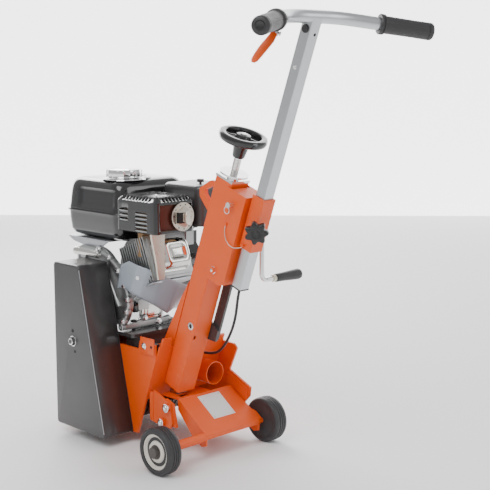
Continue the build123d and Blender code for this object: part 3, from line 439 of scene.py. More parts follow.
def makeFinish(name, f):
    material = bpy.data.materials.new(name)
    material.use_nodes = True
    nodes, links = material.node_tree.nodes, material.node_tree.links
    shader = nodes["Principled BSDF"]
    mottle = nodes.new("ShaderNodeGroup")
    mottle.node_tree = mottleGroup
    mottle.inputs["Color"].default_value = (*f["color"], 1)
    mottle.inputs["Dark"].default_value = (*f["dark"], 1)
    mottle.inputs["Amount"].default_value = f["amount"]
    mottle.inputs["Roughness"].default_value = f["rough"]
    mottle.inputs["Spread"].default_value = f["spread"]
    mottle.inputs["Scale"].default_value = f.get("scale", 14)
    color = mottle.outputs["Color"]
    if "scuff" in f:
        scuffs = nodes.new("ShaderNodeGroup")
        scuffs.node_tree = scuffGroup
        scuffs.inputs["Scale"].default_value = f.get("scuffScale", 45)
        scuffs.inputs["Width"].default_value = 0.006
        scuffs.inputs["Cover"].default_value = 0.62
        strength = mathNode(nodes, links, "MULTIPLY", scuffs.outputs["Mask"], f["scuff"])
        mix = nodes.new("ShaderNodeMix")
        mix.data_type = "RGBA"
        links.new(strength, mix.inputs["Factor"])
        links.new(color, mix.inputs["A"])
        mix.inputs["B"].default_value = (*f["scuffColor"], 1)
        color = mix.outputs["Result"]
    links.new(color, shader.inputs["Base Color"])
    links.new(mottle.outputs["Roughness"], shader.inputs["Roughness"])
    grain = nodes.new("ShaderNodeGroup")
    grain.node_tree = grainGroup
    grain.inputs["Scale"].default_value = f["grain"]
    grain.inputs["Stretch"].default_value = f.get("stretch", (1, 1, 1))
    bump = nodes.new("ShaderNodeBump")
    bump.inputs["Strength"].default_value = f["bump"]
    bump.inputs["Distance"].default_value = 0.0006
    links.new(grain.outputs["Height"], bump.inputs["Height"])
    links.new(bump.outputs["Normal"], shader.inputs["Normal"])
    shader.inputs["Metallic"].default_value = f.get("metal", 0)
    shader.inputs["Coat Weight"].default_value = f.get("coat", 0)
    shader.inputs["Coat Roughness"].default_value = 0.08
    return material


finish = {name: makeFinish(name, values) for name, values in finishes.items()}
print("finishes made:", len(finish))

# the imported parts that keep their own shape, each with its finish
nodeFinish = {
    "orangeEnamel": ["carriage", "side_plates", "column", "handle_bracket", "rear_axle", "guide_plates",
                     "drum_housing", "dust_port", "lifting_eye", "stop_lever"],
    "graphiteEnamel": ["belt_guard", "guard_backplate", "lever_stay", "air_cleaner"],
    "blackEnamel": ["fuel_tank", "muffler", "fan_housing", "recoil_starter"],
    "brightTube": ["handle_tube", "handlebar"],
    "zincPlate": ["nut_block", "lock_pin", "choke_lever"],
    "chromePlate": ["column_cap", "fuel_cap", "spindle", "lift_lever"],
    "machinedSteel": ["front_axle", "drum_shaft", "drum_body", "crankshaft", "drum_bearings", "push_tube"],
    "hardenedSteel": ["cutters"],
    "plateBlack": ["engine_plate"],
    "castAluminium": ["crankcase", "cylinder", "carburettor"],
    "brightAluminium": ["rocker_cover"],
    "shroudSteel": ["cooling_shroud"],
    "heatedSteel": ["exhaust_outlet"],
    "platePrint": ["data_plate"],
    "blackPlastic": ["tube_end_cap", "throttle_lever", "starter_grip", "star_knob", "lift_lever_grip",
        "handwheel"],
    "gripRubber": ["grips", "belts", "cable_grommet", "spark_plug", "front_wheel_left",
        "front_wheel_right"],
    "tyreRubber": ["tyre_left", "tyre_right"],
    "rimNylon": ["rim_left", "rim_right"],
    "cableSheath": ["control_cable"],
    "wireSteel": ["pin_lanyard"],
}
for name, nodes in nodeFinish.items():
    for node in nodes:
        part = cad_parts[node]
        for holder in part.material_slots:
            holder.material = finish[name]

# camera, floor and light
view = {"place": (-1.58559, -1.75026, 0.82427), "back": (-0.6912, -0.7059, 0.1547), "lens": 83.1}
camera = bpy.data.objects.new("camera", bpy.data.cameras.new("camera"))
camera.data.lens = view["lens"]
camera.data.sensor_width = 36
camera.location = view["place"]
camera.rotation_euler = (-Vector(view["back"])).to_track_quat("-Z", "Y").to_euler()
bpy.context.scene.collection.objects.link(camera)
bpy.context.scene.camera = camera

studio = {"floor": 0.95, "world": 0.6, "key": 50, "fill": 18, "rim": 60, "screen": 3.2}


def makeStage():
    size = 6.0
    grid = np.array([[-size, -size, 0], [size, -size, 0], [size, size, 0], [-size, size, 0]])
    mesh = bpy.data.meshes.new("floor")
    mesh.from_pydata(grid.tolist(), [], [(0, 1, 2, 3)])
    floor = bpy.data.objects.new("floor", mesh)
    bpy.context.scene.collection.objects.link(floor)
    paper = bpy.data.materials.new("paper")
    paper.use_nodes = True
    shader = paper.node_tree.nodes["Principled BSDF"]
    shader.inputs["Base Color"].default_value = (studio["floor"], studio["floor"], studio["floor"], 1)
    shader.inputs["Roughness"].default_value = 0.9
    mesh.materials.append(paper)
    # bright screen that stands behind the machine
    along = np.array([0.71, 0.70, 0.0])
    across = np.array([0.70, -0.71, 0.0])
    base = along * 4.0
    sheet = np.array([base - across * 4, base + across * 4, base + across * 4 + [0, 0, 4],
        base - across * 4 + [0, 0, 4]])
    mesh = bpy.data.meshes.new("screen")
    mesh.from_pydata(sheet.tolist(), [], [(0, 1, 2, 3)])
    screen = bpy.data.objects.new("screen", mesh)
    bpy.context.scene.collection.objects.link(screen)
    glow = bpy.data.materials.new("glow")
    glow.use_nodes = True
    shader = glow.node_tree.nodes["Principled BSDF"]
    shader.inputs["Emission Color"].default_value = (1, 1, 1, 1)
    shader.inputs["Emission Strength"].default_value = studio["screen"]
    mesh.materials.append(glow)
    world = bpy.data.worlds.new("studio")
    world.use_nodes = True
    world.node_tree.nodes["Background"].inputs["Color"].default_value = (1, 1, 1, 1)
    world.node_tree.nodes["Background"].inputs["Strength"].default_value = studio["world"]
    bpy.context.scene.world = world
    lights = [
        ("key", (-1.9, -0.6, 2.6), 1.8, studio["key"]),
        ("fill", (1.6, -2.4, 1.7), 1.6, studio["fill"]),
        ("rim", (0.8, 2.2, 2.2), 1.6, studio["rim"]),
    ]
    for name, where, size, power in lights:
        lamp = bpy.data.lights.new(name, "AREA")
        lamp.size = size
        lamp.energy = power
        holder = bpy.data.objects.new(name, lamp)
        holder.location = where
        aim = Vector((0, 0, 0.4)) - Vector(where)
        holder.rotation_euler = aim.to_track_quat("-Z", "Y").to_euler()
        bpy.context.scene.collection.objects.link(holder)


makeStage()


# cords
def curvePath(curve):
    # the points along a spline's own centreline
    holder = bpy.data.objects.new("route", curve)
    line = bpy.data.meshes.new_from_object(holder)
    points = np.zeros(len(line.vertices) * 3)
    line.vertices.foreach_get("co", points)
    bpy.data.objects.remove(holder)
    return points.reshape(-1, 3)


def makeCord(name, points, diameter, material):
    curve = bpy.data.curves.new(name, "CURVE")
    curve.dimensions = "3D"
    curve.bevel_depth = diameter / 2
    curve.bevel_resolution = 5
    curve.resolution_u = 10
    curve.use_fill_caps = True
    spline = curve.splines.new("NURBS")
    spline.points.add(len(points) - 1)
    for point, where in zip(spline.points, points):
        point.co = (*where, 1)
    spline.order_u = 3
    spline.use_endpoint_u = True
    curve.materials.append(material)
    piece = bpy.data.objects.new(name, curve)
    bpy.context.scene.collection.objects.link(piece)
    return piece


cable = {"diameter": 0.006, "length": 0.262}
cablePoints = np.concatenate([
    onMast([(0, -96, 294), (1, -96, 276)]),
    place([(4, -62, 340), (8, -53, 312), (14, -37, 283), (22, -15, 256), (32, 10, 233), (41, 36, 216),
           (44, 62, 208), (38, 82, 208), (28.8, 89.4, 211)]),
])
cableLine = makeCord("cableLine", cablePoints, cable["diameter"], finish["cableSheath"])
cableLine.data.bevel_depth = 0
cableRoute = curvePath(cableLine.data)
bpy.data.objects.remove(cableLine)
cableTube, cableFaces = pathTube(cableRoute, cable["diameter"] / 2, 14, up=(1, 0, 0))
controlCable = makePiece("controlCable", cableTube, cableFaces, finish["cableSheath"], None)
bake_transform(controlCable)
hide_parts("control_cable")

lanyard = {"diameter": 0.0016, "length": 0.071}
lanyardPoints = onMast([(-30.5, -41, 413.7), (-31, -42, 404), (-31.5, -48, 393), (-31.5, -58, 384),
                        (-31, -70, 380), (-28, -82, 382), (-20.6, -91, 388.1)])
pinLanyard = makeCord("pinLanyard", lanyardPoints, lanyard["diameter"], finish["wireSteel"])
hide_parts("pin_lanyard")
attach(pinLanyard, "handle_bracket")
print("cords made")

# a wall of four sides carried up through levels, with cells left out for slots
def slottedShell(x0, x1, y0, y1, corner, levels, breaks, gaps):
    # levels: (z, inset); breaks: positions along the left, rear, right and front sides; gaps(side,
    # position, z) leaves out a cell
    turn = np.linspace(0, pi / 2, 6)
    corners = [(x0, y0, pi), (x1, y0, 1.5 * pi), (x1, y1, 0), (x0, y1, 0.5 * pi)]
    rings, tags = [], []
    for z, inset in levels:
        ring, tag = [], []
        for side in range(4):
            cx, cy, begin = corners[side]
            sx, sy = (1 if cx == x0 else -1), (1 if cy == y0 else -1)
            middle = np.array([cx + sx * (corner + inset * 0.6), cy + sy * (corner + inset * 0.6)])
            reach = corner - inset * 0.4
            arc = middle + reach * np.stack([np.cos(begin + turn), np.sin(begin + turn)], axis=-1)
            ring.append(arc)
            tag += [(-1, 0.0)] * (len(turn) - 1) + [(side, None)]
            along = np.array(breaks[side], dtype=float)
            if side == 0:
                points = np.column_stack([along, np.full(len(along), y0 + inset)])
            elif side == 1:
                points = np.column_stack([np.full(len(along), x1 - inset), along])
            elif side == 2:
                points = np.column_stack([along, np.full(len(along), y1 - inset)])
            else:
                points = np.column_stack([np.full(len(along), x0 + inset), along])
            ring.append(points)
            tag += [(side, value) for value in along]
        flat = np.concatenate(ring)
        rings.append(np.column_stack([flat, np.full(len(flat), z)]))
        tags = tag
    rings = np.array(rings)
    count = rings.shape[1]
    faces = []
    for row in range(len(levels) - 1):
        z = (levels[row][0] + levels[row + 1][0]) / 2
        for col in range(count):
            side, value = tags[col]
            other = tags[(col + 1) % count][1]
            if value is not None and side >= 0 and other is not None and gaps(side, (value + other) / 2, z):
                continue
            nxt = (col + 1) % count
            faces.append([row * count + col, row * count + nxt, (row + 1) * count + nxt,
                (row + 1) * count + col])
    return rings, faces, count


def thicken(piece, depth, edge=0.0):
    solid = piece.modifiers.new("wall", "SOLIDIFY")
    solid.thickness = depth / 1000
    solid.offset = -1
    if edge:
        bevel = piece.modifiers.new("edge", "BEVEL")
        bevel.width = edge / 1000
        bevel.segments = 2
        bevel.limit_method = "ANGLE"
    return piece


# muffler: a folded guard with louvres and slots round a dark drum, and the outlet on its rear
mufflerGuard = {"x": (-66, 42), "y": (112, 246), "z": (474, 552), "corner": 8, "chamfer": 11, "wall": 1.4,
                "frontLouvres": (206, 234, (521, 511, 501)),
                    "rearLouvres": (142, 180, (517, 508, 499, 490, 481)),
                "sideSlots": (132, 228, 9), "rearSlots": (-46, 30, 8), "window": (-54, 34, 480, 536)}


def makeMuffler():
    g = mufflerGuard
    (x0, x1), (y0, y1), (z0, z1) = g["x"], g["y"], g["z"]
    bend = z1 - g["chamfer"]
    slit = 1.6
    heights = {z0, z0 + 2, bend - 3, g["window"][2], g["window"][3]}
    for _, _, places in (g["frontLouvres"], g["rearLouvres"]):
        for z in places:
            heights |= {z - slit, z + slit}
    levels = [(z, 0) for z in sorted(heights)]
    for share in (0, 0.2, 0.82, 1):
        levels.append((bend + share * g["chamfer"], share * g["chamfer"]))
    sideStart, sideEnd, sideCount = g["sideSlots"]
    rearStart, rearEnd, rearCount = g["rearSlots"]
    sidePitch = (sideEnd - sideStart) / sideCount
    rearPitch = (rearEnd - rearStart) / rearCount
    sideBreaks = {sideStart + (k + share) * sidePitch for k in range(sideCount) for share in (0.2, 0.8)}
    rearBreaks = {rearStart + (k + share) * rearPitch for k in range(rearCount) for share in (0.2, 0.8)}
    sideBreaks |= {g["frontLouvres"][0], g["frontLouvres"][1], g["rearLouvres"][0], g["rearLouvres"][1]}
    rearBreaks |= {g["window"][0], g["window"][1]}
    breaks = [sorted(rearBreaks), [140, 180, 220], [30, 0, -40], sorted(sideBreaks, reverse=True)]

    def gaps(side, value, z):
        if z > bend:
            inRow = bend + 0.2 * g["chamfer"] < z < bend + 0.8 * g["chamfer"]
            if side == 3 and sideStart < value < sideEnd:
                return inRow and ((value - sideStart) / sidePitch) % 1 > 0.2 and ((value - sideStart)
                    / sidePitch) % 1 < 0.8
            if side == 0 and rearStart < value < rearEnd:
                return inRow and 0.2 < ((value - rearStart) / rearPitch) % 1 < 0.8
            return False
        if side == 0:
            return g["window"][0] < value < g["window"][1] and g["window"][2] < z < g["window"][3]
        if side == 3:
            for low, high, places in (g["frontLouvres"], g["rearLouvres"]):
                if low < value < high and any(abs(z - place) < slit for place in places):
                    return True
        return False

    rings, faces, count = slottedShell(x0, x1, y0, y1, g["corner"], levels, breaks, gaps)
    points = rings.reshape(-1, 3)
    # the top is a shallow crown with a round dimple: rings shrink to the middle
    middle = np.array([-10, 180, z1])
    top = rings[-1]
    previous = (len(levels) - 1) * count
    start = len(points)
    extra = []
    for share, lift in ((0.80, 0.7), (0.5, 1.2), (0.22, 1.2), (0.19, -0.2), (0.10, -1.4), (0.02, -1.6)):
        ring = middle + share * (top - middle)
        ring[:, 2] = z1 + lift - 1.3
        extra.append(ring)
    for k in range(len(extra)):
        low = previous if k == 0 else start + (k - 1) * count
        high = start + k * count
        faces += [[low + c, low + (c + 1) % count, high + (c + 1) % count, high + c] for c in range(count)]
    faces.append([start + (len(extra) - 1) * count + c for c in range(count)])
    points = np.concatenate([points] + extra)
    guard = makePiece("mufflerGuard", place(points), faces, finish["blackEnamel"], "root", closed=False,
        split=28)
    thicken(guard, g["wall"])
    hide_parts("muffler")
    # painted highlight: a light metal lip under each slit, where the pressed louvre edge catches light; a
    # quarter-round bar, tapered at both ends
    louvreHighlights = []
    for low, high, places in (g["frontLouvres"], g["rearLouvres"]):
        for z in places:
            along = np.linspace(low - 1, high + 1, 9)
            swell = np.sin(np.linspace(0.12, pi - 0.12, 9)) ** 0.35
            path = np.column_stack([np.full(9, x0 + 0.2), along, np.full(9, z - slit - 1.2)])
            louvreHighlights.append(pathTube(path, 2.0 * swell, 10))
    points, faces = joinShapes(louvreHighlights)
    makePiece("mufflerLouvreHighlights", place(points), faces, finish["castAluminium"], "root")
    # drum inside, seen through the slots, and its rear cover in the window
    rings = stackedBox([(z, a, b, 16) for z, a, b in ((477, 44, 58), (478.5, 46, 60), (536, 46, 60),
        (538, 44, 58))])
    points, faces = loft(rings + np.array([-12, 181, 0]))
    makePiece("mufflerDrum", place(points), faces, finish["heatedSteel"], "root")
    panel = block(-52, 33, 117.4, 119.6, 480.5, 536, 0.6, 0.6)
    makePiece("mufflerPanel", place(panel[0]), panel[1], finish["mufflerRed"], "root")
    print("muffler made")


makeMuffler()

outlet = {"x": 8, "z": 508, "flange": 31, "holes": 11, "holeCircle": 26.5}


def makeOutlet():
    o = outlet
    centre = (o["x"], 111.6, o["z"])
    axis = (0, -1, 0)
    profile = [(-7, 12), (-7, 24), (0, 24), (0, o["flange"] - 0.6), (0.6, o["flange"]),
        (2.9, o["flange"]), (3.6, o["flange"] - 0.8), (3.6, 20)]
    shapes = [lathe(profile, centre, axis, 72)]
    makePiece("outletFlange", place(shapes[0][0]), shapes[0][1], finish["beigeZinc"], "root")
    # hood: a six-sided cone whose left half is cut back to a square mouth
    turn = np.linspace(0, 2 * pi, 6, endpoint=False) + pi / 6
    rings = []
    for depth, radius, shift in ((3.2, 24, 0), (9, 22.5, 0), (16.8, 16, 2.5), (17.2, 14.5, 3)):
        rings.append(np.column_stack([o["x"] + shift + radius * np.cos(turn), np.full(6, 111.6 - depth),
            o["z"] + radius * np.sin(turn)]))
    points, faces = loft(rings)
    makePiece("outletHood", place(points), faces, finish["beigeZinc"], "root", split=20)
    # painted shade: a near-black block set in the hood's mouth stands in for the shade inside it
    mouth = block(o["x"] - 22, o["x"] - 3, 95.2, 106, o["z"] - 12, o["z"] + 11, 0.5, 1)
    makePiece("outletMouthShade", place(mouth[0]), mouth[1], finish["paintedOpeningShade"], "root")
    # painted shade: near-black discs on the flange stand in for the shade inside its holes
    holes = []
    for k in range(o["holes"]):
        a = 2 * pi * (k + 0.35) / o["holes"]
        where = (o["x"] + o["holeCircle"] * np.cos(a), 108.15, o["z"] + o["holeCircle"] * np.sin(a))
        holes.append(lathe([(0, 1.7), (0.28, 1.7), (0.3, 0)], where, axis, 14))
    points, faces = joinShapes(holes)
    dots = makePiece("outletHoleShade", place(points), faces, finish["paintedOpeningShade"], "root")
    rim = lathe([(0, 16.5), (1.2, 15), (1.6, 12), (1.6, 0)], (o["x"] + 5, 95.6, o["z"]),
        (0.34, -0.94, 0), 40)
    makePiece("outletCap", place(rim[0]), rim[1], finish["beigeZinc"], "root")
    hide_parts("exhaust_outlet")
    # pipe from the cylinder head: an upright tube with a flat oval section
    path = [(-36, 190, 418), (-36, 190, 436), (-36, 190, 456), (-36, 190, 474.5)]
    points, faces = pathTube(path, [15, 13.4, 13, 14.5], 24, flat=0.8, up=(0, 1, 0))
    makePiece("exhaustPipe", place(points), faces, finish["heatedSteel"], "root")
    # stay: a flat strip that narrows downwards to a bolt
    levels = [(474, -47, 21), (455, -46, 18), (420, -42, 13.5), (385, -39, 11), (374, -39, 9)]
    rings = []
    for z, x, half in levels:
        rings.append([(x - half, 130, z), (x - half * 0.9, 126.8, z), (x + half * 0.9, 126.8, z),
            (x + half, 130, z),
                      (x + half * 0.85, 129, z), (x - half * 0.85, 129, z)])
    points, faces = loft(rings)
    makePiece("mufflerStay", place(points), faces, finish["beigeZinc"], "root")
    print("exhaust made")


makeOutlet()

# fuel tank: two pressed shells with a seam flange, a recessed side and a raised arc on top
tank = {"x": (-55, 162), "y": (252, 461), "bottom": 440, "corner": 34, "fan": 101}


def makeTank():
    t = tank
    cx, cy = (t["x"][0] + t["x"][1]) / 2, (t["y"][0] + t["y"][1]) / 2
    a, b = (t["x"][1] - t["x"][0]) / 2, (t["y"][1] - t["y"][0]) / 2
    levels = [(t["bottom"], 34, 34), (t["bottom"] + 1.5, 24, 30), (t["bottom"] + 6, 15, 26),
        (t["bottom"] + 16, 9, 24), (t["bottom"] + 36, 6.5, 24),
              (498, 4.5, 26), (500.4, 3.5, 27), (500.6, -1.6, 35), (501.2, -2, 35), (503, -2, 35),
              (503.6, -1.6, 35),
              (503.8, 3.5, 30), (507, 3.2, 30), (514, 4.2, 31), (530, 5.4, 32), (545, 6.8, 33),
              (556, 8.6, 34), (563, 11, 34),
              (569, 15, 34), (573, 21, 33), (575.4, 29, 30), (576, 38, 26)]
    fine = []
    for (z0, i0, c0), (z1, i1, c1) in zip(levels, levels[1:]):
        steps = 4 if z1 - z0 > 7 else 1
        for k in range(steps):
            s = k / steps
            fine.append((z0 + s * (z1 - z0), i0 + s * (i1 - i0), c0 + s * (c1 - c0)))
    fine.append(levels[-1])
    rings = stackedBox([(z, a - i, b - i, max(c - i * 0.5, 6)) for z, i, c in fine], 10, 26)
    x, y, z = rings[..., 0], rings[..., 1], rings[..., 2]
    # recessed panel on the left side: pushed in where a smooth window is one
    window = (1 / (1 + np.exp(-(y + 78) * 0.9))) * (1 / (1 + np.exp((y - 46) * 0.9)))
    window *= (1 / (1 + np.exp(-(z - 514) * 0.9))) * (1 / (1 + np.exp((z - 554) * 0.9)))
    x += 4.2 * window * (x < -a + 20)
    points = rings + np.array([cx, cy, 0])
    # the underside rises in an arc over the fan
    reach = np.sqrt(np.maximum(t["fan"] ** 2 - (points[..., 1] - engine["y"]) ** 2, 0))
    lift = np.where(points[..., 0] > 77, engine["z"] + reach + 0.5, 0)
    points[..., 2] = np.where(points[..., 2] < 500, np.maximum(points[..., 2], np.minimum(lift, 499.5)),
        points[..., 2])
    shape = loft(points)
    body = makePiece("tankShell", place(shape[0]), shape[1], finish["blackEnamel"], "root", split=40)
    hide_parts("fuel_tank")
    # raised arc round the right of the cap
    turn = np.linspace(-1.9, 0.75, 40)
    path = np.column_stack([28 + 62 * np.cos(turn), 352 + 74 * np.sin(turn), np.full(40, 576.0)])
    radius = 7 * np.sin(np.linspace(0.1, pi - 0.1, 40)) ** 0.5
    ridge = pathTube(path, radius, 14, flat=0.55)
    makePiece("tankRidge", place(ridge[0]), ridge[1], finish["blackEnamel"], "root")
    base = lathe([(0, 50), (1.6, 49), (2.6, 44), (3, 32), (3, 24)], (10, 312, 575.5), (0, 0, 1), 72)
    makePiece("capSeat", place(base[0]), base[1], finish["chromePlate"], "root")
    print("tank made")


makeTank()

cap = {"centre": (10, 312, 579.4), "radius": 41, "facets": 18}


def makeCap():
    c = cap
    levels = [(0, 0.93), (0.2, 0.97), (1.4, 1.0), (15.5, 1.0), (17.4, 0.985), (19, 0.95), (19.9, 0.88),
        (20.2, 0.80), (19.6, 0.76),
              (19.4, 0.70), (20.0, 0.66), (20.6, 0.6), (20.6, 0.3), (20.6, 0)]
    # facets: the radius dips a little between ridges on the skirt only
    profile = [(h, s * c["radius"]) for h, s in levels]

    def wave(r, angle):
        skirt = (r > 0.96 * c["radius"])
        return r - skirt * 1.5 * np.abs(np.sin(angle * c["facets"] / 2)) ** 0.6

    points, faces = lathe(profile, c["centre"], (0, 0, 1), 216, wave)
    piece = makePiece("fuelCapShell", place(points), faces, finish["chromePlate"], "fuel_cap", split=50)
    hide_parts("fuel_cap")
    print("cap made")


makeCap()

# handwheel: a deep moulded rim with a flat top land, a dished middle and a conical hub
handwheel = {"s": 588, "radius": 50.4, "spokes": 4}


def makeHandwheel():
    h = handwheel
    c = onMast([(0, 0, h["s"]), (0, 0, h["s"] + 1)]) * 1000
    axis = c[1] - c[0]
    rim = [(-8, 36), (-9.5, 40), (-9.5, 44), (-7, 48.2), (-2, 50.2), (2.5, 50.4), (6, 49), (7, 46.5),
        (7, 40), (6, 37.5), (2, 36.4), (-4, 35.6), (-8, 36)]
    hub = [(-43, 9), (-43, 11.5), (-40, 13), (-24, 15.5), (-12, 20), (-9, 23), (-4.5, 24), (-2, 22),
        (-1, 17), (2, 15.5), (5.4, 14.5), (6, 12.5), (6, 0)]
    shapes = [lathe(rim, c[0], axis, 96), lathe(hub, c[0], axis, 72)]
    web = [(-8.6, 14), (-8.6, 38), (-4.8, 38), (-4.4, 30), (-3.4, 20), (-3.2, 14)]
    shapes.append(lathe(web, c[0], axis, 96))
    for k in range(h["spokes"]):
        a = k * pi / 2 + 0.6
        path = np.array([[r * np.cos(a), r * np.sin(a), z] for r,
            z in ((14, -2), (22, -2.4), (30, -3), (39, -1.5))])
        points, faces = pathTube(onMast(path + np.array([0, 0, h["s"]])) * 1000, [7.5, 6.5, 6, 6.5], 14,
            flat=0.55, up=tuple(axis))
        shapes.append((points, faces))
    points, faces = joinShapes(shapes)
    piece = makePiece("handwheelShell", points / 1000, faces, finish["glossPlastic"], "handwheel", split=38)
    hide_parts("handwheel")
    nut = hexBolt(onMast([(0, 0, h["s"] + 2.6)])[0] * 1000, axis, 13, 5, 9)
    makePiece("handwheelNut", nut[0] / 1000, nut[1], finish["zincPlate"], "handwheel")
    # screw thread: a helix of small ridges round the spindle, above and below the cap
    turn = np.linspace(0, 2 * pi * 12, 12 * 26)
    s = 503 + turn / (2 * pi) * 3.2
    ring = np.column_stack([7.6 * np.cos(turn), 7.6 * np.sin(turn), s])
    thread = pathTube(onMast(ring) * 1000, 0.8, 6, up=tuple(axis))
    makePiece("spindleThread", thread[0] / 1000, thread[1], finish["beigeZinc"], "handwheel")
    print("handwheel made")


makeHandwheel()

# handle grips: long sleeves with an end dome, a seam ring and a double flange; along their own axis
grip = {"length": 112, "radius": 16.8, "barHalf": 234, "sweep": 97, "barS": 869, "tubeN": -96}


def gripAxis(side):
    end = np.array([side * grip["barHalf"], grip["tubeN"] - grip["sweep"], grip["barS"] + 9])
    bend = np.array([side * 70, grip["tubeN"], grip["barS"]])
    points = onMast([end, bend]) * 1000
    inward = (points[1] - points[0]) / np.linalg.norm(points[1] - points[0])
    return points[0] - inward * 4, inward


def makeGrips():
    g = grip
    r, length = g["radius"], g["length"]
    profile = [(0, 0), (0, r * 0.55), (0.6, r * 0.74), (1.8, r * 0.88), (4, r * 0.97), (7, r), (10.6, r),
        (10.9, r - 0.9), (12.3, r - 0.9),
               (12.6, r), (40, r - 0.4), (75, r - 0.2), (100, r), (101.5, r + 0.4), (102.5, r + 2.6),
               (104.5, r + 3), (105.2, r + 1.4),
               (106.4, r + 1.4), (107, r + 3), (110.5, r + 3), (length, r + 1.8), (length, 13.2),
               (length - 1, 12.9)]
    shapes = []

    def wave(radius, angle):
        # faint lengthwise moulding ribs on the palm part only
        return radius + 0.22 * np.cos(angle * 28) * (radius < r + 0.1) * (radius > r - 0.6)

    for side in (-1, 1):
        start, inward = gripAxis(side)
        shapes.append(lathe(profile, start, inward, 112, wave))
    points, faces = joinShapes(shapes)
    piece = makePiece("gripSleeves", points / 1000, faces, finish["gripRubber"], "handle", split=32)
    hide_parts("grips")
    # end plugs: a shallow dished disc in each open end
    discs = []
    for side in (-1, 1):
        start, inward = gripAxis(side)
        discs.append(lathe([(0.4, 9.6), (-0.5, 9.2), (-0.8, 8), (-0.3, 6.2), (-0.2, 0)], start, inward, 48))
    points, faces = joinShapes(discs)
    makePiece("gripPlugs", points / 1000, faces, finish["glossPlastic"], "handle")
    print("grips made")


makeGrips()

# clamp knob: seven lobes, their radius a smooth wave of the angle, on a round neck
knob = {"place": (-19.6, -115.6, 440), "lobes": 7, "radius": 21.5, "wave": 3.4}


def makeKnob():
    k = knob
    ends = onMast([k["place"], np.array(k["place"]) + np.array([-1, -1, 0])]) * 1000
    axis = (ends[1] - ends[0]) / np.linalg.norm(ends[1] - ends[0])
    profile = [(1.8, 0), (1.8, 7.5), (6, 8), (10, 9.5), (10.2, 17), (11.4, 20.2), (14, 21.3), (20, 21.5),
        (23.5, 20.6), (25.2, 18.4), (26, 14),
               (26, 10), (24.6, 9.2), (24.4, 6), (25.2, 5), (25.2, 0)]

    def wave(r, angle):
        share = np.clip((r - 11) / (k["radius"] - 11), 0, 1)
        return r + share * k["wave"] * np.cos(angle * k["lobes"])

    points, faces = lathe(profile, ends[0], axis, 140, wave)
    piece = makePiece("starKnobShell", points / 1000, faces, finish["blackPlastic"], "star_knob", split=34)
    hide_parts("star_knob")
    print("knob made")


makeKnob()

# rear wheels: a grooved tyre round a moulded rim with a dark ring and a steel axle end
wheel = {"x": 154.4, "width": 34, "radius": 50}


def makeWheels():
    w = wheel
    for side, word in ((-1, "left"), (1, "right")):
        centre = (side * w["x"], 0, w["radius"])
        axis = (side, 0, 0)
        half = w["width"] / 2
        tread = [(-half + 1, 37.8), (-half, 39), (-half, 45.2), (-half + 1.4, 47.8), (-half + 4.2, 49.4),
            (-8.4, 49.9)]
        for place0 in (-6, 0, 6):
            tread += [(place0 - 1.4, 50), (place0 - 0.7, 48.6), (place0 + 0.7, 48.6), (place0 + 1.4, 50)]
        tread += [(8.4, 49.9), (half - 4.2, 49.4), (half - 1.4, 47.8), (half, 45.2), (half, 43.4),
            (half - 0.7, 42.9), (half, 42.4), (half, 39), (half - 1, 37.8), (-half + 1, 37.8)]
        points, faces = lathe(tread, centre, axis, 128)
        tyre = makePiece("tyre-" + word, place(points), faces, finish["tyreRubber"],
            "rear_wheel_" + word, split=40)
        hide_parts("tyre_" + word)
        rim = [(-13.5, 37.7), (13.2, 37.7), (14, 37), (14, 34.6), (13.4, 33.8), (11.4, 33.2),
            (10.4, 31.4), (8.8, 30.4), (8.4, 27),
               (8.6, 24), (10.6, 22.4), (12.6, 21.4), (13.4, 19.8), (13.4, 16), (12.6, 14.6),
               (12.6, 6.4), (-12.6, 6.4), (-12.6, 15), (-13.4, 17),
               (-13.4, 19.8), (-8.6, 24), (-8.4, 28), (-11, 32.8), (-14, 34.6), (-14, 37), (-13.5, 37.7)]
        points, faces = lathe(rim, centre, axis, 128)
        web = makePiece("rim-" + word, place(points), faces, finish["rimNylon"], "rear_wheel_" + word,
            split=26)
        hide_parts("rim_" + word)
        ring = lathe([(8.0, 30.6), (9.2, 30.3), (9.6, 29), (9.4, 24.6), (9.9, 23.4), (8, 23)], centre,
            axis, 96)
        makePiece("rimShadowRing-" + word, place(ring[0]), ring[1], finish["tyreRubber"],
            "rear_wheel_" + word)
        endCap = lathe([(12.6, 6.2), (12.6, 15.2), (14.4, 14.8), (15.2, 12.2), (21, 12), (22.3, 11.2),
            (22.4, 4.5), (22.3, 0)], centre, axis, 64)
        makePiece("axleCap-" + word, place(endCap[0]), endCap[1], finish["hardenedSteel"], "carriage")
    print("wheels made")


makeWheels()

# belt guard: a folded box with rounded rims, its outline the four corners of a leaning trapezium
guard = {"outline": [(375, 24), (375, 397), (281, 397), (197, 24)], "x": (-147, -66.5), "corner": 9,
    "edge": 4}


def roundedOutline(corners, radius, steps=7):
    # each corner replaced by a quadratic blend between points a set distance along its two sides
    corners = np.array(corners, dtype=float)
    result = []
    for before, here, after in zip(np.roll(corners, 1, 0), corners, np.roll(corners, -1, 0)):
        a = here + (before - here) / np.linalg.norm(before - here) * radius
        b = here + (after - here) / np.linalg.norm(after - here) * radius
        t = np.linspace(0, 1, steps)[:, None]
        result.append((1 - t) ** 2 * a + 2 * t * (1 - t) * here + t ** 2 * b)
    return np.concatenate(result)


def insetOutline(points, distance):
    # every point moved inwards along the mean of its two side normals
    step = np.roll(points, -1, 0) - np.roll(points, 1, 0)
    normal = np.column_stack([-step[:, 1], step[:, 0]])
    normal /= np.linalg.norm(normal, axis=1)[:, None]
    inside = points.mean(axis=0) - points
    flip = np.sign((normal * inside).sum(axis=1))[:, None]
    return points + normal * flip * distance


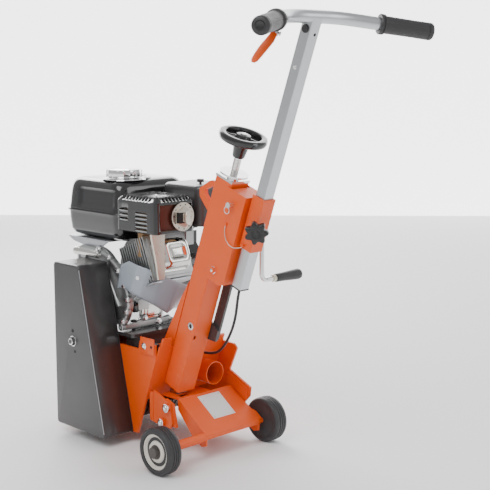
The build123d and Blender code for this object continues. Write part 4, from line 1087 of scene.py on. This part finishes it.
def makeGuard():
    g = guard
    outline = roundedOutline(g["outline"], g["corner"])
    x0, x1 = g["x"]
    rings = []
    for turn in np.linspace(0, pi / 2, 6):
        inset = g["edge"] * (1 - np.sin(turn))
        x = x0 + g["edge"] * (1 - np.cos(turn))
        ring = insetOutline(outline, inset)
        rings.append(np.column_stack([np.full(len(ring), x), ring]))
    rings.append(np.column_stack([np.full(len(outline), x1), outline]))
    points, faces = loft(rings, True, False)
    shell = makePiece("beltGuardShell", place(points), faces, finish["graphiteEnamel"], "root",
        closed=False, split=34)
    thicken(shell, 2.2)
    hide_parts("belt_guard")
    # painted highlight: a bright steel line down the leaning rear edge, where the bend catches light; and a
    # folded flange round the mouth
    rear = np.array([(x0 + 1.0, 281 - 1.2, 388), (x0 + 1.0, 239 - 1.0, 200), (x0 + 1.0, 200.5, 34)])
    line = pathTube(rear, 0.9, 8, flat=1)
    makePiece("guardEdgeHighlight", place(line[0]), line[1], finish["shroudSteel"], "root")
    lipRings = []
    for x, inset in ((x1 - 1.5, -0.2), (x1 - 1.5, 4.5), (x1, 4.5), (x1, -0.2)):
        ring = insetOutline(outline, inset)
        lipRings.append(np.column_stack([np.full(len(ring), x), ring]))
    lipRings.append(lipRings[0])
    points, faces = loft(lipRings, False, False)
    makePiece("guardMouthLip", place(points), faces, finish["graphiteEnamel"], "root")
    bolt = hexBolt((x0 - 0.4, 305, 226), (-1, 0, 0), 15, 7, 12)
    makePiece("guardBoltHead", place(bolt[0]), bolt[1], finish["chromePlate"], "root")
    # painted shade: near-black discs on the guard face stand in for the shade inside its holes
    holes = []
    for y, z, r in ((306, 249, 3), (299, 203, 2.4)):
        holes.append(lathe([(0, r + 1), (0.3, r + 0.8), (0.35, r), (0.2, 0)], (x0 - 0.1, y, z),
            (-1, 0, 0), 24))
    points, faces = joinShapes(holes)
    makePiece("guardHoleShade", place(points), faces, finish["paintedOpeningShade"], "root")
    print("guard made")


makeGuard()

# lift lever grip: a tapered sleeve, thicker at its free end, with a collar of its own colour
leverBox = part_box("lift_lever_grip")


def makeLeverGrip():
    low, high = np.array(leverBox[0]) * 1000, np.array(leverBox[1]) * 1000
    y, z = (low[1] + high[1]) / 2, (low[2] + high[2]) / 2
    start = low[0]
    length = high[0] - start
    profile = [(9, 5.6), (9, 8.2), (11, 8.7), (30, 9.2), (length - 14, 11.2), (length - 6, 11.5),
        (length - 2, 10.4), (length - 0.4, 7.5), (length, 0)]
    sleeve = lathe(profile, (start, y, z), (1, 0, 0), 64)
    piece = makePiece("leverSleeve", sleeve[0] / 1000, sleeve[1], finish["gripRubber"], "lift_lever",
        split=40)
    collar = lathe([(0.4, 5.4), (0.4, 6.6), (1.4, 7.4), (7.6, 7.4), (8.8, 6.8), (8.8, 5.4)],
        (start, y, z), (1, 0, 0), 48)
    makePiece("leverCollar", collar[0] / 1000, collar[1], finish["ivoryCollar"], "lift_lever")
    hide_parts("lift_lever_grip")
    print("lever grip made")


makeLeverGrip()

# rocker cover: a domed lid on a flange, its top pressed in to a shallow dish, with corner bolts
rocker = {"x": 43, "up": 37, "low": 184.2, "high": 216}


def makeRocker():
    r = rocker
    levels = [(r["low"], 0, 12), (r["low"] + 3.4, 0, 12), (r["low"] + 3.8, 0.4, 12),
        (r["low"] + 4.2, 3.2, 11), (r["low"] + 8, 4.2, 11),
              (r["high"] - 8, 6.5, 12), (r["high"] - 3, 9.5, 12), (r["high"] - 0.8, 13, 11),
              (r["high"], 17, 9), (r["high"] - 0.4, 20.5, 8),
              (r["high"] - 3, 24, 7), (r["high"] - 4.6, 27.5, 5), (r["high"] - 5.2, 33, 3)]
    rings = stackedBox([(h, r["x"] - i, r["up"] - i, max(c, 1.5)) for h, i, c in levels], 9, 2)
    points, faces = loft(rings)
    piece = makePiece("rockerLid", onCylinder(points), faces, finish["brightAluminium"], "root", split=34)
    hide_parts("rocker_cover")
    axis = onCylinder([(0, 0, 0), (0, 0, 1)]) * 1000
    axis = axis[1] - axis[0]
    bolts = []
    for sx in (-1, 1):
        for su in (-1, 1):
            where = onCylinder([(sx * 34.5, su * 28.5, r["low"] + 9.2)])[0] * 1000
            bolts.append(hexBolt(where, axis, 8, 5, 5.4))
    points, faces = joinShapes(bolts)
    makePiece("rockerBolts", points / 1000, faces, finish["zincPlate"], "root")
    print("rocker cover made")


makeRocker()

# engine castings: a side cover with a bolted rim, the oil housing, the filler, the mounting rail and
# the bosses
casting = {"sideX": (-61, -47), "rim": [(334, 424), (297, 417), (262, 396), (232, 364), (217, 334),
    (214, 304), (224, 276), (240, 256)]}


def makeCasting():
    c = casting
    x0, x1 = c["sideX"]
    outline = np.array(c["rim"] + [(398, 256), (404, 300), (404, 404), (392, 424)], dtype=float)
    outline = roundedOutline(outline, 9, 4)
    rings = []
    for x, inset in ((x1, 0), (x0 + 5, 0), (x0 + 1.6, 1.2), (x0 + 0.4, 3.2), (x0, 6), (x0 + 0.2, 9),
        (x0 + 3.4, 11.5), (x0 + 4.2, 15), (x0 + 2.2, 34), (x0 - 0.6, 44), (x0 - 1.6, 60)):
        ring = insetOutline(outline, inset) if inset < 20 else outline.mean(0) + (outline
            - outline.mean(0)) * (1 - inset / 92)
        rings.append(np.column_stack([np.full(len(ring), x), ring]))
    points, faces = loft(rings)
    makePiece("sideCover", place(points), faces, finish["castAluminium"], "root", split=38)
    bosses, heads = [], []
    along = np.array(c["rim"], dtype=float)
    for y, z in along[:-1] * 0.5 + along[1:] * 0.5:
        y, z = y + 3, z + (0 if z > 330 else 1)
        bosses.append(lathe([(-6, 9), (1.4, 8.2), (2.2, 7.2), (2.2, 0)], (x0, y, z), (-1, 0, 0), 28))
        heads.append(hexBolt((x0 - 2.0, y, z), (-1, 0, 0), 8, 4, 5.6))
    points, faces = joinShapes(bosses)
    makePiece("sideCoverBosses", place(points), faces, finish["castAluminium"], "root")
    points, faces = joinShapes(heads)
    makePiece("sideCoverBolts", place(points), faces, finish["chromePlate"], "root")
    # ribs that run from the rim down to the feet
    ribs = []
    for y0, z0, y1, z1 in ((300, 392, 250, 300), (330, 404, 330, 270), (368, 400, 380, 272)):
        path = [(x0 + 0.6, y0, z0), (x0 - 0.2, (y0 + y1) / 2, (z0 + z1) / 2), (x0 + 0.6, y1, z1)]
        ribs.append(pathTube(path, [3.4, 4.2, 3.8], 10))
    points, faces = joinShapes(ribs)
    makePiece("sideCoverRibs", place(points), faces, finish["castAluminium"], "root")
    # oil housing at the rear foot: rounded block with a flange and a filler boss
    shapes = [block(-6, 52, 233, 252, 262, 309, 3.5, 7), block(-12, 58, 238, 252, 258, 264, 1.2, 3),
        block(2, 44, 229.5, 236, 270, 301, 2.4, 6)]
    points, faces = joinShapes(shapes)
    makePiece("oilHousing", place(points), faces, finish["brightAluminium"], "root")
    ears = [lathe([(0, 8.5), (6, 8), (8, 6.6), (8, 0)], (x, 239, z), (0, -1, 0), 28) for x,
        z in ((-1, 268), (47, 268), (46, 303))]
    heads = [hexBolt((x, 231.2, z), (0, -1, 0), 8, 4, 5.6) for x, z in ((-1, 268), (47, 268), (46, 303))]
    points, faces = joinShapes(ears)
    makePiece("oilHousingEars", place(points), faces, finish["castAluminium"], "root")
    points, faces = joinShapes(heads)
    makePiece("oilHousingBolts", place(points), faces, finish["chromePlate"], "root")
    # filler cap: a square grip on a round neck
    neck = lathe([(0, 13.5), (9, 12.5), (10, 11.5), (10, 0)], (-25, 246, 297), (0, -1, 0), 36)
    makePiece("fillerNeck", place(neck[0]), neck[1], finish["castAluminium"], "root")
    turn = np.radians(24)
    corners = roundedRect(11, 9.5, 2.4, 6)
    spin = np.column_stack([corners[:, 0] * np.cos(turn) - corners[:, 1] * np.sin(turn),
        corners[:, 0] * np.sin(turn) + corners[:, 1] * np.cos(turn)])
    rings = []
    for depth, scale in ((0, 0.7), (0, 1.12), (3, 1.12), (3.6, 1), (12, 0.96), (13.4, 0.86), (12.6, 0.6)):
        rings.append(np.column_stack([-25 + spin[:, 0] * scale, np.full(len(spin), 236 - depth),
            297 + spin[:, 1] * scale]))
    points, faces = loft(rings)
    makePiece("fillerCap", place(points), faces, finish["glossPlastic"], "root")
    # mounting rail across the rear feet, with round end bosses and its bolt
    rail = block(-58, 72, 233.5, 250, 247, 260, 1.6, 3)
    ends = [lathe([(-2, 7.6), (0, 8.2), (4, 8.2), (5, 7), (5, 3.4), (3, 3.2), (3, 0)], (x, 241, 254),
        (s, 0, 0), 32) for x, s in ((-60, -1), (72, 1))]
    ramp = pathTube([(-20, 240, 259), (6, 240, 262), (30, 240, 266), (52, 240, 262)], [5, 7, 7, 5], 14,
        flat=0.8)
    points, faces = joinShapes([rail, ramp] + ends)
    makePiece("mountingRail", place(points), faces, finish["castAluminium"], "root")
    bolt = hexBolt((39, 233.6, 253), (0, -1, 0), 11, 6, 8)
    makePiece("railBolt", place(bolt[0]), bolt[1], finish["chromePlate"], "root")
    # upper boss and tank bracket
    boss = lathe([(0, 4), (0, 9.4), (1.4, 10.4), (14, 10), (16, 9.2), (76, 9.2), (78, 10), (90, 10.4),
        (92, 9.4), (92, 4)], (-55, 321, 408), (0, 1, 0), 40)
    makePiece("upperBoss", place(boss[0]), boss[1], finish["brightAluminium"], "root")
    pins = [hexBolt((-55, 321.4, 408), (0, -1, 0), 9, 4, 7), hexBolt((-55, 412.6, 408), (0, 1, 0), 9, 4, 7)]
    points, faces = joinShapes(pins)
    makePiece("upperBossPins", place(points), faces, finish["zincPlate"], "root")
    bracket = roundedOutline([(300, 439), (452, 439), (430, 428), (404, 424), (348, 414), (330, 420)], 5, 4)
    rings = [np.column_stack([np.full(len(bracket), x), bracket]) for x in (-49, -45)]
    plate = loft(rings)
    shelf = block(-51, 10, 300, 448, 437, 439.6, 0.8, 8)
    points, faces = joinShapes([plate, shelf])
    makePiece("tankBracket", place(points), faces, finish["shroudSteel"], "root")
    print("castings made")


makeCasting()

# cylinder cowl: a ruled sheet between two curved edges, pressed outwards in the middle
cowl = {"upper": [(-63, 236, 396), (-64, 205, 408), (-63, 178, 402), (-54, 156, 396), (-28, 138, 380),
    (10, 126, 362), (46, 120, 348)],
        "lower": [(-62, 252, 342), (-63, 226, 346), (-62, 206, 338), (-52, 190, 328), (-26, 176, 312),
            (6, 164, 288), (52, 170, 306)]}


def makeCowl():
    upper, lower = np.array(cowl["upper"], float), np.array(cowl["lower"], float)
    u = np.linspace(0, len(upper) - 1, 49)
    index = np.clip(u.astype(int), 0, len(upper) - 2)
    share = (u - index)
    share = share * share * (3 - 2 * share) * 0.35 + share * 0.65
    top = upper[index] + share[:, None] * (upper[index + 1] - upper[index])
    low = lower[index] + share[:, None] * (lower[index + 1] - lower[index])
    v = np.linspace(0, 1, 17)[:, None, None]
    grid = top[None] + v * (low - top)[None]
    press = np.clip(np.minimum(v * 9, (1 - v) * 9), 0, 1) * np.clip(np.minimum(u * 3, (6 - u) * 3), 0,
        1)[None, :, None]
    away = np.array([-0.75, -0.55, -0.36])
    grid = grid + press * 2.2 * away
    faces = gridQuads(17, 49, closeCols=False)
    sheet = makePiece("cylinderCowl", place(grid), faces, finish["cowlPaint"], "root", closed=False,
        split=50)
    thicken(sheet, 1.2)
    bolts = [hexBolt((-59.5, 182, 374), (-0.8, -0.5, -0.2), 9, 4, 7),
        hexBolt((-2, 150, 345), (-0.4, -0.8, -0.5), 8, 4, 6)]
    points, faces = joinShapes(bolts)
    makePiece("cowlBolts", place(points), faces, finish["zincPlate"], "root")
    print("cowl made")


makeCowl()

# stop lever: a broad blade that hangs from a clip under the bar, swept between two outlines
lever = {"width": 17}


def makeStopLever():
    start, inward = gripAxis(-1)
    pivot = start + inward * (4 + grip["length"] + 10)
    up = np.array([0, -np.sin(mast["lean"]), np.cos(mast["lean"])])
    up = up - inward * up.dot(inward)
    up /= np.linalg.norm(up)
    side = np.cross(inward, up)
    # in the clip's own plane: up, along the bar, and across
    path = np.array([(-22, -2), (-29, -8), (-36, -22), (-41, -40), (-47, -60), (-55, -82), (-62, -100),
        (-64, -107)], float)
    width = np.array([8, 10.5, 12.5, 13, 12.5, 11.5, 9.5, 5.5]) * lever["width"] / 26
    centre = pivot + path[:, :1] * up + path[:, 1:] * inward
    tangent = np.gradient(centre, axis=0)
    tangent /= np.linalg.norm(tangent, axis=1)[:, None]
    face = np.cross(tangent, side)
    turn = np.linspace(0, 2 * pi, 20, endpoint=False)
    across = np.sign(np.cos(turn)) * np.abs(np.cos(turn)) ** 0.5
    deep = np.sign(np.sin(turn)) * np.abs(np.sin(turn)) ** 0.8
    rings = centre[:, None] + width[:, None, None] * across[None, :, None] * side + 2.1 * deep[None, :,
        None] * face[:, None, :]
    points, faces = loft(rings)
    piece = makePiece("stopBlade", points / 1000, faces, finish["orangeEnamel"], "stop_lever", split=42)
    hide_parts("stop_lever")
    pin = lathe([(-11, 0), (-11, 4), (-9.5, 4.4), (-9, 2.6), (9, 2.6), (9.5, 4.4), (11, 4), (11, 0)],
        pivot - 24 * up, side, 24)
    makePiece("stopPin", pin[0] / 1000, pin[1], finish["zincPlate"], "handle")
    band = lathe([(-6.5, 12.8), (-6.5, 16.4), (-5.6, 17), (5.6, 17), (6.5, 16.4), (6.5, 12.8)], pivot,
        inward, 48)
    makePiece("stopClipBand", band[0] / 1000, band[1], finish["glossPlastic"], "handle")
    # round bush where a short lead from the clip goes into the tube
    tube = grip["tubeN"]
    bush = onMast([(-13.2, tube, 846), (-14.2, tube, 846)]) * 1000
    ring = lathe([(0, 8.4), (1.6, 8.4), (3.2, 6.8), (3.2, 3.2)], bush[0], bush[1] - bush[0], 32)
    makePiece("leadBush", ring[0] / 1000, ring[1], finish["gripRubber"], "handle")
    print("stop lever made")


makeStopLever()

# mast fittings: a ringed hole, the fold bolt's dome, guide bolts, the plate tab and rivets
fittings = {"ring": (-25.0, -12, 161), "foldBolt": (-28.6, -37, 310)}


def dome(centre, axis, radius, height):
    # flat collar and a part of a sphere
    t = np.linspace(0, pi / 2, 8)
    profile = [(-0.6, radius * 1.25), (0.8, radius * 1.25), (1.1, radius)] + [(1.1 + height * np.sin(a),
        radius * np.cos(a)) for a in t[1:]]
    return lathe(profile, centre, axis, 36)


def makeFittings():
    f = fittings
    left = (-1, 0, 0)
    centre = onMast([f["ring"]])[0] * 1000
    ring = lathe([(-0.5, 4.2), (-0.5, 8.6), (0.9, 8.4), (1.5, 7.2), (1.5, 5.6), (0.6, 4.8), (-0.5, 4.6)],
        centre, left, 40)
    # painted shade: a near-black disc inside the ring stands in for the shade in the hole
    dark = lathe([(0.1, 5), (0.2, 4.6), (0.2, 0)], centre, left, 24)
    makePiece("mastRing", ring[0] / 1000, ring[1], finish["zincPlate"], "root")
    makePiece("mastHoleShade", dark[0] / 1000, dark[1], finish["paintedOpeningShade"], "root")
    bolt = dome(onMast([f["foldBolt"]])[0] * 1000, left, 6.6, 4.6)
    makePiece("foldBoltHead", bolt[0] / 1000, bolt[1], finish["chromePlate"], "handle_bracket")
    # guide plate and bracket bolts
    heads = [dome((-67.4, 86, 102), left, 7.6, 4.6), dome((-67.4, 103, 66), left, 7.2, 4.4)]
    points, faces = joinShapes(heads)
    makePiece("guideBolts", place(points), faces, finish["chromePlate"], "root")
    # angle bracket on the side plate's rear top edge, with its bolt and a hole
    tab = block(-69.5, -65.5, 121, 167, 211, 247, 0.8, 2)
    makePiece("plateTab", place(tab[0]), tab[1], finish["orangeEnamel"], "root")
    bolt = dome((-69.6, 153, 228), left, 6, 3.6)
    makePiece("plateTabBolt", place(bolt[0]), bolt[1], finish["chromePlate"], "root")
    # painted shade: a near-black disc stands in for the shade in the tab's hole
    hole = lathe([(0, 3.4), (0.2, 3.3), (0.2, 0)], (-69.5, 129, 229), left, 24)
    makePiece("plateTabHoleShade", place(hole[0]), hole[1], finish["paintedOpeningShade"], "root")
    # rivets of the handle tube: one on its left face high up, one low on its rear face
    tube = grip["tubeN"]
    rivets = [dome(onMast([(-13.1, tube, 770)])[0] * 1000, left, 3, 1.6)]
    back = onMast([(0, tube - 12.5, 330), (0, tube - 13.5, 330)]) * 1000
    rivets.append(lathe([(-0.6, 4.4), (0.2, 4.4), (0.3, 4), (0.3, 0)], back[0], back[1] - back[0], 28))
    points, faces = joinShapes(rivets)
    makePiece("tubeRivets", points / 1000, faces, finish["zincPlate"], "handle")
    # painted shade: a near-black disc high on the handle tube stands in for the shade in its hole
    high = onMast([(2, tube - 13.05, 838), (2, tube - 14.05, 838)]) * 1000
    hole = lathe([(0, 3.2), (0.2, 3.1), (0.2, 0)], high[0], high[1] - high[0], 24)
    makePiece("tubeHoleShade", hole[0] / 1000, hole[1], finish["paintedOpeningShade"], "handle")
    # data plate: corner rivets, on the cover's slope
    slope = np.radians(34.5)
    def onCover(points):
        p = np.array(points, float)
        y = -7 + p[..., 1] * np.cos(slope) - p[..., 2] * np.sin(slope)
        z = 57.5 + p[..., 1] * np.sin(slope) + p[..., 2] * np.cos(slope)
        return place(np.stack([p[..., 0], y, z], axis=-1))
    normal = onCover([(0, 0, 0), (0, 0, 1)])
    normal = normal[1] - normal[0]
    rivets = [dome(onCover([(x, s, 0.9)])[0] * 1000, normal, 1.7, 1.1) for x in (18.5,
        72.5) for s in (36.5, 93.5)]
    points, faces = joinShapes(rivets)
    makePiece("plateRivets", points / 1000, faces, finish["zincPlate"], "carriage")
    print("fittings made")


makeFittings()
